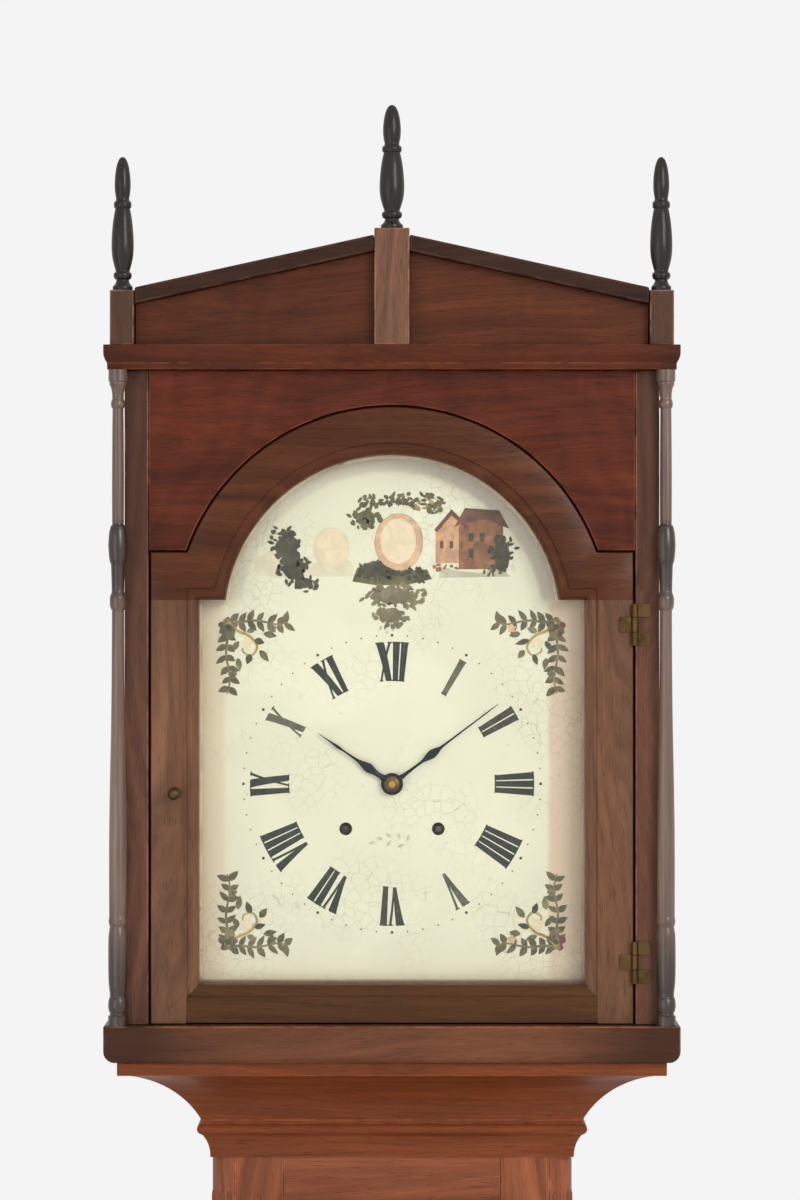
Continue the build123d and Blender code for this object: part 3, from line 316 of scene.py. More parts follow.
# plinths and hood base moulding: painted shade towards the ends and over the side plinths
MAT["plinth"] = wood("mahogany_plinth", (109, 75, 58), figure=0.35, dirt=0.3, painted_shade=beyond(0.05, 0.15, 0.72))
MAT["base_m"] = wood("mahogany_base_moulding", (104, 62, 40), figure=0.45, painted_shade=beyond(0.10, 0.202, 0.86))
MAT["cove"] = wood("mahogany_cove", (112, 56, 27), figure=0.45)
MAT["trunk"] = wood("mahogany_trunk", (125, 70, 45), figure=0.55, spread=1.1)
MAT["trunk_door"] = wood("mahogany_trunk_door", (124, 63, 37), figure=0.75, flame=0.12, spread=1.15)
MAT["base"] = wood("mahogany_base", (116, 62, 38), figure=0.65, flame=0.07, spread=1.1)
MAT["back"] = raw_wood("pine_back", lin(92, 66, 42), lin(136, 104, 70), lin(164, 132, 94))
MAT["inner"] = raw_wood("oak_inner", lin(84, 60, 38), lin(122, 92, 60), lin(148, 116, 80))
MAT["ebony"] = wood("ebonised", (37, 34, 31), figure=0.3, gloss=0.32, coat=0.18, dirt=0.2)
MAT["brass"] = metal("brass", lin(206, 166, 88), lin(120, 86, 40), 0.27)
MAT["brass_dull"] = metal("brass_dull", lin(178, 138, 72), lin(92, 64, 34), 0.40, spots=0.8)
MAT["brass_old"] = metal("brass_patinated", lin(96, 74, 46), lin(56, 42, 28), 0.45, spots=1.0)
MAT["brass_dark"] = metal("brass_dark", lin(124, 98, 58), lin(66, 50, 32), 0.42, spots=0.9)
MAT["bell"] = metal("bell_metal", lin(186, 158, 112), lin(110, 86, 52), 0.30, spots=0.6)
MAT["steel"] = metal("steel", lin(150, 150, 152), lin(84, 74, 66), 0.32, spots=0.6)
MAT["iron"] = metal("iron", lin(88, 86, 84), lin(74, 50, 36), 0.55, spots=0.9, metallic=0.8)
MAT["blued"] = metal("blued_steel", lin(30, 32, 44), lin(44, 34, 30), 0.30, spots=0.4, metallic=0.9)
MAT["weight"] = metal("weight_iron", lin(60, 58, 56), lin(92, 60, 40), 0.55, spots=0.8, metallic=0.5)


def gut():
    m = M("gut_line")
    o = m.obj()
    tw = m.wave(m.vadd(m.vscale(o, (300, 300, 1)), (0, 0, 0)), 180, 0.3, 1, 1.0, direction="DIAGONAL")
    col = m.ramp(tw, [(0.2, lin(112, 84, 48)), (0.8, lin(176, 146, 98))])
    return m.done(Base_Color=col, Roughness=0.5, Normal=m.bump(tw, 0.0002), Subsurface_Weight=0.05)


MAT["gut"] = gut()


def liner():
    """Mask behind the door: stained board, its sight edge rubbed back to a pale tan paint."""
    m = M("mask_painted")
    p = m.attr("gp")
    o = m.obj()
    x, y, z = m.xyz(o)
    n1 = m.noise(o, 34.0, 5, 0.6, 0.4)
    streak = m.noise(m.vscale(p, (190, 190, 6.0)), 1.0, 5, 0.6, 0.3)
    col = m.mix(m.smooth(n1, 0.3, 0.75), lin(226, 206, 176), lin(206, 180, 146))
    col = m.mix(m.math("MULTIPLY", m.smooth(streak, 0.5, 0.72), 0.35), col, lin(176, 144, 108))
    # painted shadow along the bottom of the sight edge
    col = m.mix(m.smooth(z, 1.629, 1.622), col, lin(120, 86, 58))
    # painted shade down the right side of the sight edge
    col = m.mix(m.math("MULTIPLY", m.smooth(x, 0.125, 0.140), 0.45), col, lin(150, 112, 84))
    chip = m.smooth(m.noise(o, 90.0, 5, 0.65), 0.64, 0.70)
    col = m.mix(m.math("MULTIPLY", chip, 0.8), col, lin(96, 60, 38))
    wear = m.math("MULTIPLY", m.attr("wear", "Fac"), m.smooth(n1, 0.45, 0.62))
    col = m.mix(m.math("MULTIPLY", wear, 0.4), col, lin(120, 84, 56))
    # behind the door the board is only stained
    r = m.math("SQRT", m.math("ADD", m.math("POWER", x, 2.0), m.math("POWER", m.math("SUBTRACT", z, ARCH_CZ), 2.0)))
    out = m.math("MAXIMUM", m.math("SUBTRACT", m.math("ABSOLUTE", x), 0.1505), m.math("MAXIMUM", m.math("SUBTRACT", 1.6215, z), m.math("SUBTRACT", z, 1.9225)))
    d = m.math("ADD", m.math("MINIMUM", out, m.math("SUBTRACT", r, 0.1315)), m.math("MULTIPLY", m.math("SUBTRACT", n1, 0.5), 0.0016))
    stain = m.mix(m.smooth(streak, 0.35, 0.68), lin(66, 42, 28), lin(98, 64, 42))
    col = m.mix(m.smooth(d, 0.0, 0.0008), col, stain)
    return m.done(Base_Color=col, Roughness=0.5, Normal=m.bump(streak, 0.00015), Specular_IOR_Level=0.3)


MAT["liner"] = liner()


def winding(cx):
    """Barrel metal: brass drum and wheels, bare steel arbor and square at its middle."""
    m = M("brass_and_arbor")
    o = m.obj()
    x, y, z = m.xyz(o)
    r = m.math("SQRT", m.math("ADD", m.math("POWER", m.math("SUBTRACT", x, cx), 2.0), m.math("POWER", m.math("SUBTRACT", z, 1.741), 2.0)))
    arb = m.smooth(r, 0.0049, 0.0046)
    t = m.noise(o, 30.0, 6, 0.65, 0.6)
    sc = m.noise(m.vscale(o, (60, 400, 60)), 10.0, 3, 0.6)
    br = m.mix(m.math("MULTIPLY", m.smooth(t, 0.45, 0.8), 0.5), lin(206, 166, 88), lin(120, 86, 40))
    st = m.mix(m.smooth(t, 0.4, 0.7), lin(92, 90, 88), lin(52, 44, 36))
    return m.done(Base_Color=m.mix(arb, br, st), Metallic=1.0, Roughness=m.math("ADD", 0.26, m.math("MULTIPLY", sc, 0.14)), Normal=m.bump(sc, 0.00003))


def glass():
    m = M("old_glass")
    o = m.obj()
    n = m.bump(m.noise(o, 9.0, 3, 0.5), 0.0012, 0.6)
    tr = m.node("ShaderNodeBsdfTransparent", {"Color": (0.985, 0.99, 0.985, 1)})
    gl = m.node("ShaderNodeBsdfGlossy", {"Color": (1, 1, 1, 1), "Roughness": 0.03, "Normal": n})
    fr = m.node("ShaderNodeFresnel", {"IOR": 1.45, "Normal": n})
    mx = m.node("ShaderNodeMixShader", {0: m.math("MULTIPLY", fr.outputs[0], 0.55), 1: tr.outputs[0], 2: gl.outputs[0]})
    m.t.links.new(mx.outputs[0], m.out.inputs[0])
    return m.m


MAT["glass"] = glass()


def dial_paint():
    """Cream japanned iron: darker and yellower towards its edges, painted shadow as a tan band down the right side and
    a grey band round the arch, hairline crazing.
    """
    m = M("dial_paint")
    o = m.obj()
    x, y, z = m.xyz(o)
    ax = m.math("ABSOLUTE", x)
    box_d = m.math("MINIMUM", m.math("SUBTRACT", 0.1515, ax), m.math("MINIMUM", m.math("SUBTRACT", z, 1.6195), m.math("SUBTRACT", 1.9225, z)))
    r = m.math("SQRT", m.math("ADD", m.math("POWER", x, 2.0), m.math("POWER", m.math("SUBTRACT", z, ARCH_CZ), 2.0)))
    arch_d = m.math("SUBTRACT", 0.1335, r)
    d = m.math("MAXIMUM", box_d, arch_d)
    n1 = m.noise(o, 28.0, 5, 0.6, 0.5)
    n2 = m.noise(o, 140.0, 4, 0.6)
    cloud = m.noise(o, 9.0, 4, 0.55, 0.7)
    base = m.mix(m.smooth(cloud, 0.35, 0.7), lin(235, 233, 208), lin(226, 224, 199))
    edge = m.smooth(m.math("ADD", d, m.math("MULTIPLY", m.math("SUBTRACT", n1, 0.5), 0.012)), 0.016, 0.001)
    base = m.mix(m.math("MULTIPLY", edge, 0.55), base, lin(200, 190, 150))
    wob = m.math("MULTIPLY", m.math("SUBTRACT", n1, 0.5), 0.006)
    flat = m.smooth(z, 1.922, 1.914)
    # painted shadow: the right stile's shadow on the dial, a tan band down its right side
    right = m.math("MULTIPLY", m.smooth(m.math("ADD", x, wob), 0.1190, 0.1250), flat)
    base = m.mix(m.math("MULTIPLY", right, 0.62), base, lin(208, 172, 144))
    left = m.math("MULTIPLY", m.smooth(m.math("ADD", x, wob), -0.1275, -0.1330), flat)
    base = m.mix(m.math("MULTIPLY", left, 0.60), base, lin(226, 204, 172))
    low = m.smooth(m.math("ADD", z, wob), 1.648, 1.638)
    base = m.mix(m.math("MULTIPLY", low, 0.35), base, lin(240, 226, 200))
    # painted shadow: grey bands round the inside of the arch, where the arch rail shades the dial
    arch_rim_shadow = m.math("MULTIPLY", m.smooth(m.math("ADD", r, wob), 0.1150, 0.1195), m.smooth(z, 1.916, 1.922))
    arch_rim_shadow = m.math("MULTIPLY", arch_rim_shadow, m.smooth(x, -0.11, 0.08))
    base = m.mix(m.math("MULTIPLY", arch_rim_shadow, 0.75), base, lin(196, 180, 172))
    arch_band_shadow = m.math("MULTIPLY", m.smooth(m.math("ADD", r, wob), 0.1170, 0.1210), m.smooth(z, 1.916, 1.922))
    base = m.mix(m.math("MULTIPLY", arch_band_shadow, 0.5), base, lin(204, 196, 180))
    spots = m.smooth(n2, 0.66, 0.74)
    base = m.mix(m.math("MULTIPLY", spots, 0.22), base, lin(150, 120, 84))
    cr = m.voronoi(m.vadd(o, m.vscale(m.noise(o, 60.0, 3, 0.6, 0, "Color"), 0.004)), 120.0)
    crack = m.smooth(cr, 0.030, 0.006)
    fade = m.smooth(m.noise(o, 13.0, 3, 0.5), 0.42, 0.62)
    crack = m.math("MULTIPLY", crack, fade)
    base = m.mix(m.math("MULTIPLY", crack, 0.34), base, lin(130, 112, 84))
    chips = m.math("MULTIPLY", m.smooth(n2, 0.60, 0.66), m.smooth(d, 0.004, 0.0005))
    base = m.mix(chips, base, lin(70, 56, 44))
    rough = m.math("ADD", 0.34, m.math("MULTIPLY", n1, 0.18))
    return m.done(Base_Color=base, Roughness=rough, Normal=m.bump(m.math("MULTIPLY", crack, -1.0), 0.00008), Coat_Weight=0.15, Coat_Roughness=0.25,
                  Specular_IOR_Level=0.4)


MAT["dial"] = dial_paint()


def paint(name, c, worn=0.3, metallic=0.0, rough=0.42, show=lin(226, 222, 198), scale=420.0, vary=0.25):
    """Brushed-on paint: strokes of uneven depth, worn through to the ground in places."""
    m = M(name)
    o = m.obj()
    n = m.noise(o, scale, 4, 0.65, 0.3)
    b = m.noise(o, 90.0, 4, 0.6, 0.6)
    dark = tuple(v * (1 - vary) for v in c[:3]) + (1,)
    light = tuple(min(1, v * (1 + vary) + 0.01) for v in c[:3]) + (1,)
    col = m.mix(m.smooth(b, 0.35, 0.65), dark, light)
    w = m.math("MULTIPLY", m.smooth(n, 0.58, 0.72), worn)
    col = m.mix(w, col, show)
    return m.done(Base_Color=col, Roughness=rough, Metallic=metallic, Normal=m.bump(b, 0.00006))


MAT["ink"] = paint("numeral_black", lin(22, 28, 12), worn=0.07, rough=0.38)
MAT["ink_mid"] = paint("numeral_worn", lin(42, 44, 30), worn=0.22, rough=0.4)
MAT["ink_faded"] = paint("numeral_faded", lin(80, 82, 62), worn=0.35, rough=0.4)
MAT["p_tree"] = paint("paint_tree", lin(58, 56, 30), worn=0.08, vary=0.40)
MAT["p_leaf"] = paint("paint_leaf", lin(92, 88, 50), worn=0.10, vary=0.4)
MAT["p_olive"] = paint("paint_olive", lin(96, 87, 50), worn=0.12, vary=0.3)
MAT["p_grey"] = paint("paint_grey", lin(120, 111, 80), worn=0.18, vary=0.3)
MAT["p_gold"] = paint("paint_gold", lin(176, 150, 84), worn=0.2, metallic=0.5, rough=0.35, vary=0.2)
MAT["p_brown"] = paint("paint_brown", lin(142, 92, 54), worn=0.05, vary=0.3)
MAT["p_roof"] = paint("paint_roof", lin(104, 62, 44), worn=0.05, vary=0.3)
MAT["p_pink"] = paint("paint_pink", lin(216, 176, 140), worn=0.1, vary=0.15)
MAT["p_cream"] = paint("paint_cream", lin(232, 214, 180), worn=0.05, vary=0.06)
MAT["p_rose"] = paint("paint_rose", lin(104, 42, 34), worn=0.1, vary=0.3)
MAT["p_tan"] = paint("paint_tan", lin(200, 154, 116), worn=0.08, vary=0.2)
MAT["p_roof_l"] = paint("paint_outline", lin(196, 158, 128), worn=0.1, vary=0.25)
MAT["p_grey_l"] = paint("paint_pale_grey", lin(192, 190, 166), worn=0.25, vary=0.15)
MAT["p_brown_dark"] = paint("paint_umber", lin(96, 78, 54), worn=0.12, vary=0.3)
MAT["p_sky"] = paint("paint_sky", lin(222, 214, 184), worn=0.15, vary=0.06)


# ------------------------------------------------------------------ mesh helpers
def link(name, me, mats, body, rep=(), smooth=None, wn=False):
    ob = bpy.data.objects.new(name, me)
    scene.collection.objects.link(ob)
    for mt in (mats if isinstance(mats, (list, tuple)) else [mats]):
        me.materials.append(mt)
    if smooth is not None:
        me.polygons.foreach_set("use_smooth", [True] * len(me.polygons))
        me.set_sharp_from_angle(angle=math.radians(smooth))
    if wn:
        md = ob.modifiers.new("wn", "WEIGHTED_NORMAL")
        md.keep_sharp = True
    if body:
        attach(ob, body)
    if rep:
        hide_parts(*rep)
    return ob


def set_gp(me, seed, axis=None, wear=None):
    """Board coordinates per loose part: grain along its longest side."""
    n = len(me.vertices)
    co = np.zeros(n * 3)
    me.vertices.foreach_get("co", co)
    co = co.reshape(-1, 3)
    e = np.zeros(len(me.edges) * 2, int)
    me.edges.foreach_get("vertices", e)
    e = e.reshape(-1, 2)
    lab = np.arange(n)
    while True:
        lo = np.minimum(lab[e[:, 0]], lab[e[:, 1]])
        new = lab.copy()
        np.minimum.at(new, e[:, 0], lo)
        np.minimum.at(new, e[:, 1], lo)
        new = new[new]
        if (new == lab).all():
            break
        lab = new
    rng = random.Random(seed)
    gp = np.zeros((n, 3))
    for k in np.unique(lab):
        sel = lab == k
        c = co[sel]
        size = c.max(0) - c.min(0)
        a = axis if axis is not None else int(np.argmax(size))
        other = [i for i in range(3) if i != a]
        off = np.array([rng.uniform(-3, 3) for _ in range(3)])
        ctr = (c.max(0) + c.min(0)) / 2
        q = np.stack([c[:, other[0]] - ctr[other[0]], c[:, other[1]] - ctr[other[1]], c[:, a] - ctr[a]], 1)
        gp[sel] = q + off * (0.0 if axis == -1 else 1.0)
    at = me.attributes.new("gp", "FLOAT_VECTOR", "POINT")
    at.data.foreach_set("vector", gp.astype(np.float32).ravel())
    at = me.attributes.new("wear", "FLOAT", "CORNER")
    val = np.zeros(len(me.loops), np.float32)
    if wear is not None:
        for f in me.polygons:
            if wear[f.index]:
                val[f.loop_start:f.loop_start + f.loop_total] = 1.0
    at.data.foreach_set("value", val)


def clean_copy(node, ang=0.4, keep=None):
    bm = bmesh.new()
    bm.from_mesh(N[node].data)
    bmesh.ops.remove_doubles(bm, verts=bm.verts, dist=3e-6)
    bmesh.ops.dissolve_limit(bm, angle_limit=math.radians(ang), verts=bm.verts, edges=bm.edges)
    return bm


def board(node, mat, bevel=0.0009, seg=2, ang=28, axis=None, name=None, smooth=50):
    """A CAD wood piece with its arrises eased, each board with its own grain."""
    bm = clean_copy(node)
    ed = [e for e in bm.edges if e.is_manifold and e.calc_face_angle(0) > math.radians(ang)]
    lay = bm.faces.layers.int.new("bf")
    if bevel:
        r = bmesh.ops.bevel(bm, geom=ed, offset=bevel, offset_type="OFFSET", segments=seg, profile=0.6, affect="EDGES", clamp_overlap=True)
        for f in r["faces"]:
            if f.is_valid:
                f[lay] = 1
    bmesh.ops.recalc_face_normals(bm, faces=bm.faces)
    me = bpy.data.meshes.new(name or node + "_v")
    w = [f[lay] for f in bm.faces]
    bm.to_mesh(me)
    bm.free()
    if "bf" in me.attributes:
        me.attributes.remove(me.attributes["bf"])
    set_gp(me, node, axis, w)
    return link(name or node + "_v", me, MAT[mat], BODY[node], [node], smooth=smooth, wn=True)


def lathe(name, cx, cy, prof, mat, body, rep=(), n=56, seed=0, axis="z", smooth=40, wear=None):
    """Turned piece: profile of (r, h) about a vertical axis at cx, cy (or about Y through cx, height cy)."""
    verts, faces, ws = [], [], []
    m = len(prof)
    for i in range(n):
        a = 2 * math.pi * i / n
        for j, (r, h) in enumerate(prof):
            r = max(r, 1e-5)
            if axis == "z":
                verts.append((cx + r * math.cos(a), cy + r * math.sin(a), h))
            else:
                verts.append((cx + r * math.cos(a), h, cy + r * math.sin(a)))
    for i in range(n):
        k = (i + 1) % n
        for j in range(m - 1):
            faces.append((i * m + j, k * m + j, k * m + j + 1, i * m + j + 1))
    me = bpy.data.meshes.new(name)
    me.from_pydata(verts, [], faces)
    bm = bmesh.new()
    bm.from_mesh(me)
    bmesh.ops.remove_doubles(bm, verts=bm.verts, dist=2e-5)
    bmesh.ops.dissolve_degenerate(bm, dist=1e-6, edges=bm.edges)
    bmesh.ops.recalc_face_normals(bm, faces=bm.faces)
    bm.to_mesh(me)
    bm.free()
    set_gp(me, name + str(seed))
    return link(name, me, mat, body, rep, smooth=smooth)


def spline(pts, k=6, closed=False):
    """Catmull-Rom through the points; a repeated point keeps a corner."""
    out = []
    n = len(pts)
    for i in range(n - 1):
        p1, p2 = pts[i], pts[i + 1]
        if abs(p1[0] - p2[0]) + abs(p1[1] - p2[1]) < 1e-9:
            continue
        p0 = pts[i - 1] if i > 0 and pts[i - 1] != p1 else p1
        p3 = pts[i + 2] if i + 2 < n and pts[i + 2] != p2 else p2
        for s in range(k):
            t = s / k
            t2, t3 = t * t, t * t * t
            out.append(tuple(0.5 * (2 * p1[c] + (p2[c] - p0[c]) * t + (2 * p0[c] - 5 * p1[c] + 4 * p2[c] - p3[c]) * t2 +
                                    (-p0[c] + 3 * p1[c] - 3 * p2[c] + p3[c]) * t3) for c in (0, 1)))
    out.append(tuple(pts[-1]))
    return out


def join(objs, name):
    """Merges meshes into the first."""
    bpy.ops.object.select_all(action="DESELECT")
    for o in objs:
        o.select_set(True)
    bpy.context.view_layer.objects.active = objs[0]
    bpy.ops.object.join()
    objs[0].name = name
    objs[0].data.name = name
    return objs[0]


# ------------------------------------------------------------------ case and hood boards
board("back_board", "back", 0.0012)
board("trunk_sides", "trunk")
board("seat_board", "inner", 0.0012)
board("base_box", "base", 0.0012)
board("base_mouldings", "base", 0.0007)
board("bracket_feet", "base", 0.0010)
board("throat_moulding", "cove", 0.0007)
board("hood_base_moulding", "base_m", 0.0010)
board("hood_sides", "hood", 0.0012)
board("hood_front_posts", "post", 0.0012)
board("hood_frieze", "frieze", 0.0010)
board("dial_mask", "liner", 0.0007)
board("cornice", "cornice", 0.0007)
board("tympanum", "tymp", 0.0008)
board("raking_cornice", "rake", 0.0016)
board("roof_boards", "hood", 0.0012)
board("plinths", "plinth", 0.0010)
board("trunk_front_frame", "trunk", 0.0009)
board("trunk_door", "trunk_door", 0.0010)


# ------------------------------------------------------------------ hood door: moulded frame
def door_frame():
    """Stiles, rails and arched head with an ovolo worked round the glass."""
    prof = [(0.0, HD_F + HD_T), (0.0, HD_F + 0.0098)]
    for i in range(9):                     # ovolo quarter round
        a = math.pi / 2 * i / 8
        prof.append((0.0075 - 0.0075 * math.cos(a), HD_F + 0.0090 - 0.0072 * math.sin(a)))
    prof += [(0.0090, HD_F + 0.0018), (0.0092, HD_F + 0.0003), (0.0096, HD_F), (0.0352, HD_F), (0.0362, HD_F + 0.0004),
             (0.0368, HD_F + 0.0014), (0.0370, HD_F + 0.003), (0.0370, HD_F + HD_T)]
    nz, na = 10, 40

    def outline(u, part):
        pts = []
        if part == "arch":
            zs = SHOULDER + u
            xa = math.sqrt((ARCH_R + u) ** 2 - (zs - ARCH_CZ) ** 2)
            a0 = math.asin((zs - ARCH_CZ) / (ARCH_R + u))
            right = [(OPEN_HW + u, SHOULDER), (OPEN_HW + u, zs), ((OPEN_HW + u + xa) / 2, zs), (xa, zs)]
            arc = []
            for i in range(1, na):
                a = a0 + (math.pi - 2 * a0) * i / na
                arc.append(((ARCH_R + u) * math.cos(a), ARCH_CZ + (ARCH_R + u) * math.sin(a)))
            pts = right + arc + [(-x, z) for x, z in reversed(right)]
        return pts

    obs = []
    # arched head
    rows = [outline(u, "arch") for u, _ in prof]
    k = len(rows[0])
    verts, faces = [], []
    for (u, y), row in zip(prof, rows):
        verts += [(x, y, z) for x, z in row]
    mm = len(prof)
    for j in range(mm):
        jn = (j + 1) % mm
        for i in range(k - 1):
            faces.append((j * k + i, j * k + i + 1, jn * k + i + 1, jn * k + i))
    faces.append(tuple(j * k for j in range(mm)))
    faces.append(tuple(j * k + k - 1 for j in reversed(range(mm))))
    me = bpy.data.meshes.new("hood_door_arch_v")
    me.from_pydata(verts, [], faces)
    bm = bmesh.new(); bm.from_mesh(me)
    bmesh.ops.recalc_face_normals(bm, faces=bm.faces)
    bm.to_mesh(me); bm.free()
    set_gp(me, 5)
    link("hood_door_arch_rail", me, MAT["arch"], "hood_door", ["hood_door_frame"], smooth=32)
    # stiles, mitred into the bottom rail's moulding
    for s, nm in ((-1, "left"), (1, "right")):
        verts, faces = [], []
        for z0 in (None, SHOULDER - 0.00005):
            for u, y in prof:
                z = (OPEN_Z0 - min(u, 0.0095)) if z0 is None else z0
                if z0 is None and u > 0.0095:
                    z = HD_F * 0 + 1.593
                verts.append((s * (OPEN_HW + u), y, z))
        for j in range(mm):
            jn = (j + 1) % mm
            faces.append((j, jn, mm + jn, mm + j))
        faces.append(tuple(range(mm)))
        faces.append(tuple(reversed(range(mm, 2 * mm))))
        me = bpy.data.meshes.new("hood_door_stile_" + nm)
        me.from_pydata(verts, [], faces)
        bm = bmesh.new(); bm.from_mesh(me)
        bmesh.ops.recalc_face_normals(bm, faces=bm.faces)
        bm.to_mesh(me); bm.free()
        set_gp(me, nm)
        link("hood_door_stile_" + nm, me, MAT["stile"], "hood_door", ["hood_door_frame"], smooth=32)
    verts, faces = [], []
    bprof = [(u, y) for u, y in prof if u < 0.0351] + [(0.0288, HD_F), (0.0293, HD_F + 0.0012), (0.0294, HD_F + HD_T)]
    bprof = [(u, y) for u, y in bprof if u <= 0.0294]
    nb = len(bprof)
    for s in (-1, 1):
        for u, y in bprof:
            verts.append((s * (OPEN_HW + min(u, 0.0095) if u <= 0.0096 else OPEN_HW + 0.0095 * 1.0) - s * 0.00005, y, OPEN_Z0 - u))
    for j in range(nb):
        jn = (j + 1) % nb
        faces.append((j, jn, nb + jn, nb + j))
    faces.append(tuple(range(nb)))
    faces.append(tuple(reversed(range(nb, 2 * nb))))
    me = bpy.data.meshes.new("hood_door_bottom_rail")
    me.from_pydata(verts, [], faces)
    bm = bmesh.new(); bm.from_mesh(me)
    bmesh.ops.recalc_face_normals(bm, faces=bm.faces)
    bm.to_mesh(me); bm.free()
    set_gp(me, 77)
    # the bottom rail takes the darker mahogany: painted shade
    link("hood_door_bottom_rail", me, MAT["dark"], "hood_door", ["hood_door_frame"], smooth=32)


door_frame()
N["hood_door_glass"].data.materials.clear()
N["hood_door_glass"].data.materials.append(MAT["glass"])


# ------------------------------------------------------------------ turned work
def fin_prof(z0, h, k):
    f = h / 100.0
    raw = [(0, 0), (0, 0), (8.5, 0), (8.5, 0), (8.6, 1.5), (8.5, 3), (8.5, 3), (7.2, 4.2), (5.9, 6), (5.4, 8), (5.4, 8), (6.9, 8.8), (7.7, 10.4), (7.8, 11.6), (7.6, 12.8),
           (6.4, 13.8), (6.4, 13.8), (6.1, 15), (7.4, 19), (8.9, 25), (9.5, 31), (9.5, 37), (9.1, 44), (8.2, 52), (7.1, 58), (6.3, 61.2), (6.3, 61.2), (7.1, 61.9), (7.55, 63.4),
           (7.55, 65), (7.0, 66.4), (5.9, 67.2), (5.9, 67.2), (5.7, 69), (6.3, 72), (6.8, 76), (6.9, 80), (6.6, 85), (5.9, 90), (4.8, 94.5), (3.2, 98), (1.6, 99.5), (0, 100)]
    return [(r * k / 1000, z0 + z * f / 1000) for r, z in spline([(float(a), float(b)) for a, b in raw], 4)]


lathe("finial_centre", 0, -0.1198, fin_prof(2.20455, 95.4, 1.0), MAT["ebony"], "hood", ["finials"], n=48)
for s, nm in ((-1, "left"), (1, "right")):
    lathe("finial_" + nm, s * 0.2072, -0.119, fin_prof(2.15705, 102.9, 0.9), MAT["ebony"], "hood", ["finials"], n=48)


def column_mat():
    """Old polish on a turned column: paler, rubbed upper shaft and a darker foot."""
    m = M("column_turned")
    p = m.attr("gp")
    o = m.obj()
    x, y, z = m.xyz(o)
    streak = m.noise(m.vscale(p, (230, 230, 7.0)), 1.0, 6, 0.6, 0.3)
    up = m.smooth(z, 1.88, 1.99)
    foot = m.smooth(z, 1.70, 1.62)
    a = m.ramp(streak, [(0.25, lin(74, 55, 45)), (0.5, lin(100, 78, 66)), (0.75, lin(124, 101, 88))])
    b = m.ramp(streak, [(0.25, lin(58, 41, 34)), (0.5, lin(82, 62, 53)), (0.75, lin(104, 83, 73))])
    c = m.ramp(streak, [(0.25, lin(26, 18, 14)), (0.5, lin(46, 34, 28)), (0.75, lin(66, 51, 43))])
    ring = m.math("MULTIPLY", m.smooth(z, 1.905, 1.935), m.smooth(z, 1.982, 1.976))
    col = m.mix(m.math("MULTIPLY", up, 0.75), a, b)
    col = m.mix(ring, col, c)
    col = m.mix(foot, col, c)
    smear = m.noise(o, 60.0, 4, 0.6)
    return m.done(Base_Color=col, Roughness=m.math("ADD", 0.24, m.math("MULTIPLY", smear, 0.22)), Coat_Weight=0.3, Coat_Roughness=0.15,
                  Normal=m.bump(streak, 0.0001), Specular_IOR_Level=0.4)


MAT["colm"] = column_mat()
COLP = [(0, 1592.06), (0, 1592.06), (7.5, 1592.06), (7.5, 1592.06), (7.5, 1599.6), (7.5, 1599.6), (6.3, 1600.4), (6.3, 1602), (7.0, 1603.5), (7.6, 1607.5), (7.1, 1612),
        (6.3, 1614), (6.3, 1614), (6.3, 1617), (6.3, 1617), (6.9, 1622), (7.4, 1630), (7.5, 1645), (7.3, 1660), (6.6, 1666), (6.3, 1668), (6.3, 1668), (7.1, 1670.5), (7.2, 1673),
        (6.8, 1676), (6.8, 1676), (6.9, 1700), (6.8, 1740), (6.2, 1780), (5.4, 1819), (4.9, 1860), (4.7, 1900), (4.7, 1911), (4.7, 1911), (5.6, 1912.5), (6.2, 1915), (6.3, 1918.5),
        (6.2, 1921), (5.4, 1923.5), (4.8, 1925), (4.8, 1925), (5.0, 1935), (5.4, 1946), (5.4, 1946), (6.6, 1950), (7.35, 1958), (7.4, 1963), (6.8, 1971), (5.5, 1976), (5.5, 1976),
        (4.5, 1977), (4.5, 1980), (4.5, 1980), (4.6, 2010), (4.4, 2045), (4.2, 2066), (4.2, 2066), (5.0, 2067), (5.4, 2069.5), (5.0, 2072), (4.4, 2073.5), (4.4, 2073.5), (4.6, 2078), (5.4, 2082),
        (6.5, 2084.5), (6.5, 2084.5), (6.5, 2086.5), (6.5, 2086.5), (7.3, 2087.2), (7.3, 2087.2), (7.3, 2095.9), (7.3, 2095.9), (0, 2095.9)]
colp = [(a / 1000, b / 1000) for a, b in spline([(float(a), float(b)) for a, b in COLP], 4)]
for s, nm in ((-1, "left"), (1, "right")):
    lathe("colonette_front_" + nm, s * 0.2105, HD_F - 0.0076, colp, MAT["colm"], "hood", ["colonettes"], n=40, seed=s)
    lathe("colonette_rear_" + nm, s * 0.2136, 0.132 - 0.0085, colp, MAT["colm"], "hood", ["colonettes"], n=32, seed=s + 5)


